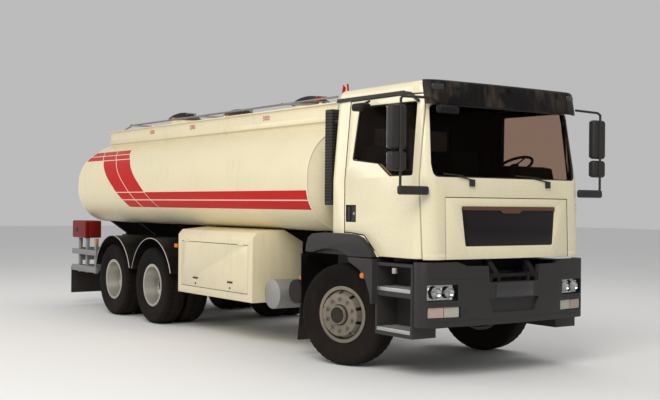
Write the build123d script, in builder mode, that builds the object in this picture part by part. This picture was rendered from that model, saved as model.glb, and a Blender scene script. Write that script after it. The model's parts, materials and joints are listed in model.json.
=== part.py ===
"""A three-axle fuel tanker truck: short tilting cab, tandem twin-wheel bogie, elliptical tank.

Frame: +X forwards, +Y to the driver's left, +Z up, the ground at Z = 0, origin under the middle
of the truck. Lengths are in millimetres.
"""

from build123d import *
import math
import os

os.makedirs("parts", exist_ok=True)

SIDES = {"right": -1, "left": 1}

# ------------------------------------------------------------------ driving sizes: chassis
front_overhang = 1475
wheelbase = 4425
bogie_spacing = 1350
rear_overhang = 1800
overall_length = front_overhang + wheelbase + bogie_spacing + rear_overhang
front_x = overall_length / 2
rear_x = -overall_length / 2
front_axle_x = front_x - front_overhang
first_rear_axle_x = front_axle_x - wheelbase
rear_axle_xs = [first_rear_axle_x, first_rear_axle_x - bogie_spacing]

pin_clearance = 0.3
seat_gap = 0.3
panel_gap = 8
door_gap = 12

rail_inner_y = 350
rail_width = 80
rail_outer_y = rail_inner_y + rail_width
rail_bottom_z = 780
rail_height = 270
rail_top_z = rail_bottom_z + rail_height
rail_plate = 12
rail_front_x = front_x - 185
rail_rear_x = rear_x + 120

# ------------------------------------------------------------------ driving sizes: wheels
tyre_radius = 538
tyre_width = 312
bead_radius = 286
rim_width = 260
rim_flange_radius = 298.5
rim_flange_width = 12
rim_inner_radius = 262
disc_offset = 175
disc_thickness = 12
disc_edge_radius = 222
hand_hole_radius = 19
hand_hole_circle = 234
hand_hole_count = 10
hand_hole_start = 18
twin_spacing = 350
rear_wheel_y = 1084
front_wheel_y = 1035
kingpin_y = 880
steer_at_rest = 18
front_spindle_radius = 40
rear_spindle_radius = 60
front_hub_radius = 108
rear_hub_radius = 125
drum_radius = 205

# ------------------------------------------------------------------ driving sizes: cab
cab_half_width = 1120
cab_roof_half_width = 1045
cab_rear_x = front_axle_x - 200
cab_front_x = front_axle_x + 1420
cab_belt_rake = 25
cab_screen_rake = 135
cab_nose_bulge = 45
cab_corner_radius = 190
cab_rear_radius = 95
cab_floor_z = 1170
cab_belt_z = 1960
cab_gutter_z = 2810
cab_top_z = 2925
cab_roof_radius = 85
cab_wall = 60
cab_floor_thickness = 60
flap_top_z = 1780
flap_half_width = 850
tilt_pivot_x = front_x - 45
tilt_pivot_z = 1000
notch_low_z = 940

# ------------------------------------------------------------------ driving sizes: tank
tank_front_x = front_axle_x - 550
tank_rear_x = front_axle_x - 7300
tank_half_width = 1190
tank_bottom_z = 1365
tank_height = 1405
tank_top_z = tank_bottom_z + tank_height
tank_waist_z = tank_bottom_z + 635
tank_shoulder_radius = 560
tank_corner_radius = 522
tank_keel_sag = 30
tank_head_bulge = 115
# How far the head's section has shrunk, as a share of the corner radius, against its reach.
tank_head_steps = [(0, 0), (0.25, 0.5), (0.6, 0.86), (0.85, 1)]
coaming_half_width = 740
coaming_top_z = 2860
coaming_wall = 14
coaming_front_x = tank_front_x - 60
coaming_rear_x = tank_rear_x + 250


# ------------------------------------------------------------------ helpers
def block(x, y, z, mode=Mode.ADD):
    """A box that spans the given (low, high) pairs along X, Y and Z."""
    with Locations(((x[0] + x[1]) / 2, (y[0] + y[1]) / 2, (z[0] + z[1]) / 2)):
        Box(x[1] - x[0], y[1] - y[0], z[1] - z[0], mode=mode)


def rounded_outline(plane, points, radius):
    """A closed outline of straight runs on a plane, its corners rounded when a radius is given."""
    with BuildSketch(plane) as outline:
        with BuildLine():
            Polyline(*points, close=True)
        make_face()
        if radius:
            fillet(outline.vertices(), radius)
    return outline.sketch


def side_plate(points, y, radius=0, mode=Mode.ADD):
    """A plate of the side-view outline (x, z), spanning the pair y."""
    outline = rounded_outline(Plane.XZ.offset(-max(y)), points, radius)
    extrude(outline, amount=abs(y[1] - y[0]), mode=mode)


def front_plate(points, x, radius=0, mode=Mode.ADD):
    """A plate of the front-view outline (y, z), spanning the pair x."""
    outline = rounded_outline(Plane.YZ.offset(min(x)), points, radius)
    extrude(outline, amount=abs(x[1] - x[0]), mode=mode)


def rod(start, end, radius, mode=Mode.ADD):
    """A round bar between two points."""
    run = Vector(*end) - Vector(*start)
    with BuildSketch(Plane(origin=start, z_dir=run)) as circle:
        Circle(radius)
    extrude(circle.sketch, amount=run.length, mode=mode)


def mirrored(points):
    """Points on the +Y side followed by their mirror images, as one loop."""
    return points + [(-y, z) for y, z in reversed(points)]


def span(side, inner, outer):
    """The (low, high) Y pair between two distances from the middle, on one side."""
    return tuple(sorted((side * inner, side * outer)))


def turned(vector, degrees):
    """A plan vector turned about +Z."""
    angle = math.radians(degrees)
    x, y = vector
    return (x * math.cos(angle) - y * math.sin(angle), x * math.sin(angle) + y * math.cos(angle))


# ------------------------------------------------------------------ frame
cross_member_xs = [rail_front_x - 60, 2150, 900, -700, -1800, -2300, -3450, rail_rear_x + 60]
cross_member_length = 90
cross_member_height = 160
jaw_z = (856, 956)
jaw_pin_x = rail_rear_x - 50
jaw_pin_radius = 20.5
pivot_arm_y = (230, 290)
pivot_radius = 22
pivot_beam_x = (rail_front_x, tilt_pivot_x - 60)
with BuildPart() as frame:
    for side in SIDES.values():
        channel = [
            (side * rail_inner_y, rail_bottom_z),
            (side * rail_outer_y, rail_bottom_z),
            (side * rail_outer_y, rail_top_z),
            (side * rail_inner_y, rail_top_z),
            (side * rail_inner_y, rail_top_z - rail_plate),
            (side * (rail_outer_y - rail_plate), rail_top_z - rail_plate),
            (side * (rail_outer_y - rail_plate), rail_bottom_z + rail_plate),
            (side * rail_inner_y, rail_bottom_z + rail_plate),
        ]
        front_plate(channel, (rail_rear_x, rail_front_x))
    reach = rail_outer_y - rail_plate
    for x in cross_member_xs:
        block(
            (x - cross_member_length / 2, x + cross_member_length / 2),
            (-reach, reach),
            (rail_top_z - rail_plate - cross_member_height, rail_top_z - rail_plate),
        )
    # Towing jaw on the rear cross member, with its upright pin hole.
    jaw_x = (rail_rear_x - 85, rail_rear_x + 15)
    block(jaw_x, (-70, 70), jaw_z)
    block((jaw_x[0] - 10, jaw_x[1] - 30), (-80, 80), (jaw_z[0] + 32, jaw_z[1] - 32), mode=Mode.SUBTRACT)
    rod((jaw_pin_x, 0, jaw_z[0] - 5), (jaw_pin_x, 0, jaw_z[1] + 5), jaw_pin_radius, mode=Mode.SUBTRACT)
    # The beam closes the front of the frame and carries a lug on both sides of each cab arm.
    block(pivot_beam_x, (-rail_outer_y, rail_outer_y), (rail_bottom_z, tilt_pivot_z - 60))
    lug = [
        (pivot_beam_x[0], rail_bottom_z + 60),
        (pivot_beam_x[1], rail_bottom_z + 60),
        (pivot_beam_x[1], notch_low_z),
        (tilt_pivot_x + 28, notch_low_z),
        (tilt_pivot_x + 28, tilt_pivot_z + 30),
        (pivot_beam_x[0], tilt_pivot_z + 30),
    ]
    for side in SIDES.values():
        for gap_y in (pivot_arm_y[0] - 6, pivot_arm_y[1] + 40):
            side_plate(lug, span(side, gap_y - 34, gap_y))
    pin_y = pivot_arm_y[1] + 40
    rod((tilt_pivot_x, -pin_y, tilt_pivot_z), (tilt_pivot_x, pin_y, tilt_pivot_z), pivot_radius)

# ------------------------------------------------------------------ front axle, knuckles, track rod
axle_half_x = 45
eye_radius = 48
eye_half_height = 75
kingpin_radius = 20
beam_low_z = 410
beam_depth = 100
with BuildPart() as front_axle:
    beam = [
        (450, beam_low_z),
        (700, tyre_radius - 45),
        (kingpin_y - 30, tyre_radius - 45),
        (kingpin_y - 30, tyre_radius + 45),
        (690, tyre_radius + 45),
        (440, beam_low_z + beam_depth),
    ]
    front_plate(mirrored(beam), (front_axle_x - axle_half_x, front_axle_x + axle_half_x))
    for side in SIDES.values():
        eye = (front_axle_x, side * kingpin_y)
        rod((*eye, tyre_radius - eye_half_height), (*eye, tyre_radius + eye_half_height), eye_radius)
        rod(
            (*eye, tyre_radius - eye_half_height),
            (*eye, tyre_radius + eye_half_height),
            kingpin_radius + pin_clearance,
            mode=Mode.SUBTRACT,
        )

yoke_thickness = 40
arm_length = 180
arm_half_width = 18
ball_pin_radius = 14
track_ring_z = (394, 420)
knuckle_offset = front_wheel_y - kingpin_y
front_spindle_end = knuckle_offset + 182
steer_axes = {}
for name, side in SIDES.items():
    upright = Plane(
        origin=(front_axle_x, side * kingpin_y, 0),
        x_dir=(*turned((1, 0), steer_at_rest), 0),
        z_dir=(0, 0, 1),
    )
    yoke_top = (tyre_radius + eye_half_height + seat_gap, tyre_radius + eye_half_height + yoke_thickness)
    yoke_low = (tyre_radius - eye_half_height - yoke_thickness, tyre_radius - eye_half_height - seat_gap)
    with BuildPart(upright) as knuckle:
        for z in (yoke_top, yoke_low):
            with Locations((0, 0, (z[0] + z[1]) / 2)):
                Cylinder(eye_radius, z[1] - z[0])
            block((-eye_radius, eye_radius), span(side, 0, knuckle_offset - 40), z)
        block((-60, 60), span(side, eye_radius + 8, knuckle_offset - 40), (yoke_low[0], yoke_top[1]))
        with Locations((0, 0, tyre_radius)):
            Cylinder(kingpin_radius, yoke_top[1] - yoke_low[0])
        with Locations((0, side * (knuckle_offset - 60 + front_spindle_end) / 2, tyre_radius)):
            Cylinder(front_spindle_radius, front_spindle_end - knuckle_offset + 60, rotation=(90, 0, 0))
        block((-arm_length - 16, -30), (-arm_half_width, arm_half_width), (track_ring_z[1] + 4, yoke_low[1] - 6))
        with Locations((-arm_length, 0, (track_ring_z[0] + yoke_low[1] - 6) / 2)):
            Cylinder(ball_pin_radius, yoke_low[1] - 6 - track_ring_z[0])
    knuckle.part.label = f"knuckle_{name}"
    export_step(knuckle.part, f"parts/knuckle_{name}.step")

arm_x, arm_y = turned((-arm_length, 0), steer_at_rest)
with BuildPart() as track_rod:
    ends = [(front_axle_x + arm_x, side * kingpin_y + arm_y) for side in SIDES.values()]
    for x, y in ends:
        rod((x, y, track_ring_z[0]), (x, y, track_ring_z[1]), ball_pin_radius + 14)
    rod((*ends[0], 407), (*ends[1], 407), 11)
    for x, y in ends:
        rod((x, y, track_ring_z[0]), (x, y, track_ring_z[1]), ball_pin_radius + pin_clearance, mode=Mode.SUBTRACT)
track_rod.part.label = "track_rod"
export_step(track_rod.part, "parts/track_rod.step")

# ------------------------------------------------------------------ rear axles
axle_tube_radius = 75
banjo_radius = 190
banjo_half_x = 110
nose_radius = 105
nose_reach = 225
rear_spindle_end = rear_wheel_y - 56
spring_y = (rail_inner_y + 8, rail_outer_y + 8)
with BuildPart() as axles:
    add(front_axle.part)
    for x in rear_axle_xs:
        rod((x, -500, tyre_radius), (x, 500, tyre_radius), axle_tube_radius)
        rod((x, -rear_spindle_end, tyre_radius), (x, rear_spindle_end, tyre_radius), rear_spindle_radius)
        rod((x - banjo_half_x, 0, tyre_radius), (x + banjo_half_x, 0, tyre_radius), banjo_radius)
        rod((x - nose_reach, 0, tyre_radius), (x + nose_reach, 0, tyre_radius), nose_radius)
        away = 1 if x == rear_axle_xs[0] else -1
        for side in SIDES.values():
            # Spring seat, and the brake chamber on its arm.
            block((x - 55, x + 55), span(side, *spring_y), (tyre_radius, tyre_radius + axle_tube_radius + 15))
            chamber_z = tyre_radius + 60
            rod((x + away * 120, side * 470, chamber_z), (x + away * 280, side * 470, chamber_z), 68)
            block(tuple(sorted((x, x + away * 140))), span(side, 440, 500), (tyre_radius + 20, chamber_z))
axles.part.label = "axles"
export_step(axles.part, "parts/axles.step")

# ------------------------------------------------------------------ springs
front_spring_span = 750
front_spring_eye_z = 650
spring_thickness = 48
eye_roll_radius = 30


def bowed_band(x, half_span, middle_z, end_z, thickness, y):
    """A leaf pack: a band between two arcs that share their ends' places."""
    with BuildSketch(Plane.XZ.offset(-max(y))) as band:
        with BuildLine():
            low = ThreePointArc((x - half_span, end_z), (x, middle_z), (x + half_span, end_z))
            high = ThreePointArc(
                (x - half_span, end_z + thickness / 3),
                (x, middle_z + thickness),
                (x + half_span, end_z + thickness / 3),
            )
            Line(low @ 0, high @ 0)
            Line(low @ 1, high @ 1)
        make_face()
    extrude(band.sketch, amount=abs(y[1] - y[0]))


bogie_x = sum(rear_axle_xs) / 2
trunnion_z = 640
trunnion_radius = 38
with BuildPart() as springs:
    for side in SIDES.values():
        y = span(side, *spring_y)
        bowed_band(
            front_axle_x, front_spring_span, beam_low_z + beam_depth, front_spring_eye_z, spring_thickness, y
        )
        for end in (-1, 1):
            x = front_axle_x + end * front_spring_span
            rod((x, y[0], front_spring_eye_z), (x, y[1], front_spring_eye_z), eye_roll_radius)
            block((x - 28, x + 28), span(side, rail_inner_y + 8, rail_outer_y), (front_spring_eye_z, rail_bottom_z))
        seat_z = tyre_radius + axle_tube_radius + 15
        bowed_band(bogie_x, bogie_spacing / 2 + 40, seat_z + 45, seat_z + 2, 70, y)
        for x in rear_axle_xs:
            block((x - 45, x + 45), y, (seat_z, seat_z + 22))
        block((bogie_x - 80, bogie_x + 80), y, (trunnion_z - 70, tyre_radius + axle_tube_radius + 70))
        block((bogie_x - 90, bogie_x + 90), span(side, rail_inner_y - 45, rail_inner_y), (trunnion_z - 60, rail_top_z - 30))
    rod((bogie_x, -spring_y[1], trunnion_z), (bogie_x, spring_y[1], trunnion_z), trunnion_radius)
springs.part.label = "leaf_springs"
export_step(springs.part, "parts/leaf_springs.step")

# ------------------------------------------------------------------ engine and propeller shafts
engine_x = (2950, 4080)
engine_half_width = 310
engine_z = (600, 1135)
gearbox_rear_x = 2290
gearbox_half_width = 215
gearbox_z = (600, 930)
shaft_radius = 42
gearbox_shaft_z = 720
with BuildPart() as engine:
    block(engine_x, (-engine_half_width, engine_half_width), engine_z)
    block((gearbox_rear_x, engine_x[0]), (-gearbox_half_width, gearbox_half_width), gearbox_z)
    # Mounting feet that end against the rails' webs.
    for x in (engine_x[0] + 120, engine_x[1] - 120):
        block((x - 40, x + 40), (rail_plate - rail_outer_y, rail_outer_y - rail_plate), (900, 960))
    rod((gearbox_rear_x - 3, 0, gearbox_shaft_z), (rear_axle_xs[0] + nose_reach + 3, 0, tyre_radius), shaft_radius)
    rod((rear_axle_xs[0] - nose_reach, 0, tyre_radius), (rear_axle_xs[1] + nose_reach, 0, tyre_radius), shaft_radius)
engine.part.label = "driveline"
export_step(engine.part, "parts/driveline.step")

# ------------------------------------------------------------------ tyres and rims
# Half of the tyre's section, as (radius, distance from the wheel's middle).
tyre_half_section = [
    (bead_radius, rim_width / 2 - rim_flange_width - seat_gap),
    (bead_radius + 16, rim_width / 2 - rim_flange_width - seat_gap),
    (400, tyre_width / 2),
    (500, tyre_width / 2 - 8),
    (tyre_radius, tyre_width / 2 - 38),
]


def ring(plane, points):
    """A ring turned about the plane's local Y axis from (radius, along) points."""
    with BuildSketch(plane) as profile:
        with BuildLine():
            Polyline(*points, close=True)
        make_face()
    revolve(profile.sketch, axis=Axis(plane.origin, plane.y_dir))


def tyre_ring(plane, middle):
    """A tyre whose middle stands that far along the plane's local Y axis."""
    half = [(radius, middle + along) for radius, along in tyre_half_section]
    other = [(radius, middle - along) for radius, along in reversed(tyre_half_section)]
    ring(plane, half + other)


def rim_section(middle, way):
    """The rim's well and flanges as (radius, along) points, starting from one end."""
    half = rim_width / 2
    well = [
        (rim_inner_radius, half),
        (rim_flange_radius, half),
        (rim_flange_radius, half - rim_flange_width),
        (bead_radius - seat_gap, half - rim_flange_width),
        (bead_radius - seat_gap, rim_flange_width - half),
        (rim_flange_radius, rim_flange_width - half),
        (rim_flange_radius, -half),
        (rim_inner_radius, -half),
    ]
    return [(radius, middle + way * along) for radius, along in well]


def hand_holes(plane, side, low, high):
    """The ring of hand holes through the discs, between two places along the axle."""
    start = plane.from_local_coords(Vector(0, side * low, 0))
    with BuildSketch(Plane(origin=start, x_dir=plane.x_dir, z_dir=plane.y_dir * side)) as holes:
        with PolarLocations(hand_hole_circle, hand_hole_count, start_angle=hand_hole_start):
            Circle(hand_hole_radius)
    extrude(holes.sketch, amount=high - low, mode=Mode.SUBTRACT)


for name, side in SIDES.items():
    shift_x, shift_y = turned((0, side * knuckle_offset), steer_at_rest)
    hub = Plane(
        origin=(front_axle_x + shift_x, side * kingpin_y + shift_y, tyre_radius),
        x_dir=(*turned((1, 0), steer_at_rest), 0),
        z_dir=(0, 0, 1),
    )
    with BuildPart() as front_tyre:
        tyre_ring(hub, 0)
    front_tyre.part.label = f"tyre_front_{name}"
    export_step(front_tyre.part, f"parts/tyre_front_{name}.step")

    bore = front_spindle_radius + pin_clearance
    section = rim_section(0, -1) + [
        (rim_inner_radius, 84),
        (disc_edge_radius, disc_offset),
        (front_hub_radius, disc_offset),
        (front_hub_radius, disc_offset + 6),
        (front_hub_radius - 14, disc_offset + 42),
        (0, disc_offset + 42),
        (0, disc_offset + 12),
        (bore, disc_offset + 12),
        (bore, -30),
        (drum_radius, -30),
        (drum_radius, 95),
        (front_hub_radius, 95),
        (front_hub_radius, disc_offset - disc_thickness),
        (disc_edge_radius - 8, disc_offset - disc_thickness),
        (rim_inner_radius, 56),
    ]
    with BuildPart() as front_rim:
        ring(hub, [(radius, side * along) for radius, along in section])
        hand_holes(hub, side, 40, disc_offset + 10)
    front_rim.part.label = f"rim_front_{name}"
    export_step(front_rim.part, f"parts/rim_front_{name}.step")

for axle, x in enumerate(rear_axle_xs, start=1):
    for name, side in SIDES.items():
        hub = Plane(origin=(x, side * rear_wheel_y, tyre_radius), x_dir=(1, 0, 0), z_dir=(0, 0, 1))
        with BuildPart() as twin_tyres:
            tyre_ring(hub, 0)
            tyre_ring(hub, -side * twin_spacing)
        twin_tyres.part.label = f"tyres_rear{axle}_{name}"
        export_step(twin_tyres.part, f"parts/tyres_rear{axle}_{name}.step")

        bore = rear_spindle_radius + pin_clearance
        meeting = -twin_spacing / 2
        section = rim_section(0, 1) + [(rim_inner_radius, -84), (disc_edge_radius, meeting)]
        section += [(rim_inner_radius, 84 - twin_spacing)] + rim_section(-twin_spacing, 1)
        section += [
            (rim_inner_radius, 56 - twin_spacing),
            (disc_edge_radius - 8, meeting - disc_thickness),
            (rear_hub_radius, meeting - disc_thickness),
            (rear_hub_radius, -240),
            (drum_radius, -240),
            (drum_radius, -twin_spacing - 95),
            (bore, -twin_spacing - 95),
            (bore, -50),
            (0, -50),
            (0, -20),
            (rear_hub_radius - 28, -20),
            (rear_hub_radius, -62),
            (rear_hub_radius, meeting + disc_thickness),
            (disc_edge_radius - 8, meeting + disc_thickness),
            (rim_inner_radius, -56),
        ]
        with BuildPart() as twin_rims:
            ring(hub, [(radius, side * along) for radius, along in section])
            hand_holes(hub, side, -twin_spacing + 40, -40)
        twin_rims.part.label = f"rims_rear{axle}_{name}"
        export_step(twin_rims.part, f"parts/rims_rear{axle}_{name}.step")

# ------------------------------------------------------------------ front bumper and lamps
bumper_half_width = 1138
bumper_rear_x = front_axle_x + 1245
bumper_low_z = 520
bumper_top_z = 1146
bumper_wall = 60
bumper_bulge = 100
bumper_corner = 112
notch_half_width = 340
plate_panel_rise = 2
plate_panel_z = (790, 930)


def bumper_plan(z, inset, rear):
    """The bumper's plan at one height: a bowed front with rounded corners, open behind."""
    half = bumper_half_width - inset
    nose = front_x - inset
    with BuildSketch(Plane.XY.offset(z)) as plan:
        with BuildLine():
            Polyline((nose - bumper_bulge, half), (rear, half), (rear, -half), (nose - bumper_bulge, -half))
            ThreePointArc((nose - bumper_bulge, -half), (nose, 0), (nose - bumper_bulge, half))
        make_face()
        fillet(plan.vertices().group_by(Axis.X)[-1], bumper_corner - inset)
    return plan.sketch


headlamp_y = (730, 1080)
headlamp_z = (774, 929)
foglamp_y = (700, 1080)
foglamp_z = (608, 717)
lamp_depth = 45


with BuildPart() as front_bumper:
    extrude(bumper_plan(bumper_low_z, 0, bumper_rear_x), amount=bumper_top_z - bumper_low_z)
    extrude(
        bumper_plan(bumper_low_z, bumper_wall, bumper_rear_x - 10),
        amount=bumper_top_z - bumper_low_z,
        mode=Mode.SUBTRACT,
    )
    # Notch in the middle of the top edge, where the cab's tilt arms swing.
    cut_x = (bumper_rear_x - 20, front_x + 20)
    front_plate(
        [
            (-notch_half_width, notch_low_z),
            (notch_half_width, notch_low_z),
            (notch_half_width + 25, bumper_top_z + 20),
            (-notch_half_width - 25, bumper_top_z + 20),
        ],
        cut_x,
        mode=Mode.SUBTRACT,
    )
    # The top edge drops a little towards the notch.
    for side in SIDES.values():
        front_plate(
            [
                (side * 300, bumper_top_z + 10),
                (side * 300, bumper_top_z - 46),
                (side * 620, bumper_top_z - 40),
                (side * 760, bumper_top_z + 10),
            ],
            cut_x,
            mode=Mode.SUBTRACT,
        )
    # Foot step sunk into the middle of the lower part.
    front_plate(
        [(-300, 640), (300, 640), (350, 778), (-350, 778)],
        (front_x - 48, front_x + 20),
        mode=Mode.SUBTRACT,
    )
    for side in SIDES.values():
        for y, z in ((headlamp_y, headlamp_z), (foglamp_y, foglamp_z)):
            block(cut_x, span(side, *y), z, mode=Mode.SUBTRACT)
    # Flat panel for the number plate.
    block((front_x - 20, front_x + plate_panel_rise), (-260, 260), plate_panel_z)
    # Brackets that hang the bumper on the frame's front beam.
    for side in SIDES.values():
        block((rail_front_x, front_x - 55), span(side, rail_outer_y, rail_outer_y + 50), (820, 900))
        block((rail_front_x - 200, rail_front_x + 20), span(side, rail_outer_y, rail_outer_y + 30), (800, 940))
front_bumper.part.label = "front_bumper"
export_step(front_bumper.part, "parts/front_bumper.step")

lamp_sets = []
for lamp_y, lamp_z in ((headlamp_y, headlamp_z), (foglamp_y, foglamp_z)):
    with BuildPart() as lamp_set:
        extrude(bumper_plan(lamp_z[0], 4, bumper_rear_x), amount=lamp_z[1] - lamp_z[0])
        extrude(bumper_plan(lamp_z[0], 4 + lamp_depth, bumper_rear_x - 10), amount=lamp_z[1] - lamp_z[0], mode=Mode.SUBTRACT)
        with BuildSketch(Plane.YZ.offset(bumper_rear_x - 20)) as windows:
            for side in SIDES.values():
                with Locations((side * sum(lamp_y) / 2, sum(lamp_z) / 2)):
                    Rectangle(lamp_y[1] - lamp_y[0], lamp_z[1] - lamp_z[0])
        extrude(amount=front_x + 40 - bumper_rear_x, mode=Mode.INTERSECT)
    lamp_sets.append(lamp_set.part)

# ------------------------------------------------------------------ steps and front arch legs
arch_leg_x = front_axle_x + 634
step_x = (arch_leg_x + 20, bumper_rear_x - 5)
step_outer_y = 1145
step_depth = 300
step_low_z = 400
step_top_z = 1120
tread_tops = [480, 880]
tread_thickness = 40
fender_outer_y = 1195
arch_split_z = 1160
pocket_x = (step_x[0] + 30, step_x[1] - 25)
with BuildPart() as step_wells:
    for side in SIDES.values():
        block(step_x, span(side, step_outer_y - step_depth, step_outer_y), (step_low_z, step_top_z))
        for top, ceiling in zip(tread_tops, (tread_tops[1] - 90, step_top_z - 30)):
            pocket = span(side, step_outer_y - step_depth + 40, step_outer_y + 20)
            block(pocket_x, pocket, (top - tread_thickness, ceiling), mode=Mode.SUBTRACT)
        # The leg of the wheel arch just behind the steps.
        leg = [
            (front_axle_x + 235, arch_split_z - 8),
            (step_x[0], arch_split_z - 8),
            (step_x[0], 700),
            (arch_leg_x, 700),
            (arch_leg_x - 20, 800),
            (arch_leg_x - 84, 925),
            (arch_leg_x - 190, 1030),
            (front_axle_x + 253, 1109),
        ]
        side_plate(leg, span(side, step_outer_y - 120, fender_outer_y))
        block((step_x[0] - 1, step_x[0] + 8), span(side, step_outer_y - step_depth, fender_outer_y), (700, step_top_z))
        # Carrier between the frame rail and the step well.
        block((3900, 3990), span(side, rail_outer_y, step_outer_y - step_depth), (820, 920))
step_wells.part.label = "step_wells"
export_step(step_wells.part, "parts/step_wells.step")

with BuildPart() as step_treads:
    for side in SIDES.values():
        for top in tread_tops:
            block(
                (pocket_x[0] + 4, pocket_x[1] - 4),
                span(side, step_outer_y - 255, step_outer_y + 8),
                (top - tread_thickness, top),
            )
step_treads.part.label = "step_treads"
export_step(step_treads.part, "parts/step_treads.step")

# ------------------------------------------------------------------ mudguards
guard_x = front_axle_x - 640
guard_inner_y = 700
with BuildPart() as front_shields:
    for side in SIDES.values():
        shield = [
            (guard_x + 14, arch_split_z - 8),
            (guard_x - 2, arch_split_z - 8),
            (guard_x - 2, 620),
            (guard_x - 62, 185),
            (guard_x - 52, 185),
            (guard_x + 8, 620),
        ]
        side_plate(shield, span(side, guard_inner_y, fender_outer_y))
        rod((guard_x + 2, side * rail_outer_y, 960), (guard_x + 2, side * (guard_inner_y + 40), 960), 22)

arch_radius = 660
arch_thickness = 8
arch_end_z = 730
arch_y = (565, 1245)
with BuildPart() as mudguards:
    for side in SIDES.values():
        for x in rear_axle_xs:
            y = span(side, *arch_y)
            rod((x, y[0], tyre_radius), (x, y[1], tyre_radius), arch_radius)
            rod((x, y[0], tyre_radius), (x, y[1], tyre_radius), arch_radius - arch_thickness, mode=Mode.SUBTRACT)
        block((rear_x, front_axle_x - 800), span(side, arch_y[0] - 5, arch_y[1] + 5), (-200, arch_end_z), mode=Mode.SUBTRACT)
        for x in rear_axle_xs:
            for reach in (-300, 300):
                height = tyre_radius + math.sqrt(arch_radius**2 - reach**2) - 8
                stub_z = rail_top_z - 18
                rod((x + reach, side * rail_outer_y, stub_z), (x + reach, side * (arch_y[0] + 40), stub_z), 16)
                block(
                    (x + reach - 16, x + reach + 16),
                    span(side, arch_y[0] + 10, arch_y[0] + 40),
                    (stub_z - 16, height),
                )
    add(front_shields.part)
    for side in SIDES.values():
        # Rear flaps on their upper strips.
        block((rear_x + 1, rear_x + 13), span(side, 600, 1200), (200, 640))
        block((rear_x + 12, rear_x + 25), span(side, 600, 1090), (570, 640))
mudguards.part.label = "mudguards"
export_step(mudguards.part, "parts/mudguards.step")

# ------------------------------------------------------------------ cab form
def cab_plan(z, nose, half, inset):
    """The cab's plan at one height, moved in by the inset on every side."""
    back = cab_rear_x + inset
    half = half - inset
    nose = nose - inset
    with BuildSketch(Plane.XY.offset(z)) as plan:
        with BuildLine():
            Polyline((nose - cab_nose_bulge, half), (back, half), (back, -half), (nose - cab_nose_bulge, -half))
            ThreePointArc((nose - cab_nose_bulge, -half), (nose, 0), (nose - cab_nose_bulge, half))
        make_face()
        fillet(plan.vertices().group_by(Axis.X)[-1], cab_corner_radius - inset)
        fillet(plan.vertices().group_by(Axis.X)[0], max(cab_rear_radius - inset, 4))
    return plan.sketch


cab_slope_top = (cab_top_z - cab_gutter_z) / (cab_gutter_z - cab_belt_z)
cab_levels = [
    (cab_floor_z, cab_front_x, cab_half_width),
    (cab_belt_z, cab_front_x - cab_belt_rake, cab_half_width),
    (cab_gutter_z, cab_front_x - cab_screen_rake, cab_roof_half_width),
    (
        cab_top_z,
        cab_front_x - cab_screen_rake - (cab_screen_rake - cab_belt_rake) * cab_slope_top,
        cab_roof_half_width - (cab_half_width - cab_roof_half_width) * cab_slope_top,
    ),
]


def cab_form(inset, low_z, high_z, roof_radius=cab_roof_radius):
    """The cab's outside moved in by the inset, between two heights."""
    with BuildPart() as form:
        loft([cab_plan(z, nose, half, inset) for z, nose, half in cab_levels], ruled=True)
        if high_z > cab_gutter_z:
            fillet(form.edges().group_by(Axis.Z)[-1], roof_radius - inset)
        block((cab_rear_x - 10, cab_front_x + 10), (-1300, 1300), (low_z, high_z), mode=Mode.INTERSECT)
    return form.part


cab_inner = cab_form(cab_wall, cab_floor_z + cab_floor_thickness, cab_top_z - cab_wall)
cab_outer = cab_form(0, cab_floor_z, cab_top_z)

# Side-view outlines (x, z), as distances from the front axle.
door_outline = [(80, 1410), (80, 2785), (1215, 2785), (1300, 1178), (670, 1178), (425, 1388), (163, 1410)]
window_outline = [(235, 2725), (178, 2160), (617, 2113), (828, 1982), (1189, 1985), (1160, 2715)]


def from_axle(points):
    """Outline points moved from the front axle into the truck's frame."""
    return [(front_axle_x + x, z) for x, z in points]


def grown(points, grow):
    """A closed outline offset outwards, with sharp corners."""
    with BuildSketch() as outline:
        with BuildLine():
            Polyline(*from_axle(points), close=True)
        make_face()
        if grow:
            offset(amount=grow, kind=Kind.INTERSECTION)
    return outline.sketch


def side_prism(points, grow, y, mode):
    """A side-view outline, grown, cut or added through the pair y."""
    face = Plane.XZ.offset(-max(y)) * grown(points, grow)
    extrude(face, amount=abs(y[1] - y[0]), mode=mode)


screen_outline = mirrored([(985, 1972), (1000, 2100), (960, 2690)])
rear_window_y = 560
rear_window_z = (2080, 2560)
glass_thickness = 6
glass_inset = 14
door_hinge_x = front_axle_x + 1312
door_corner_y = 978
door_inner_y = 985
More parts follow.
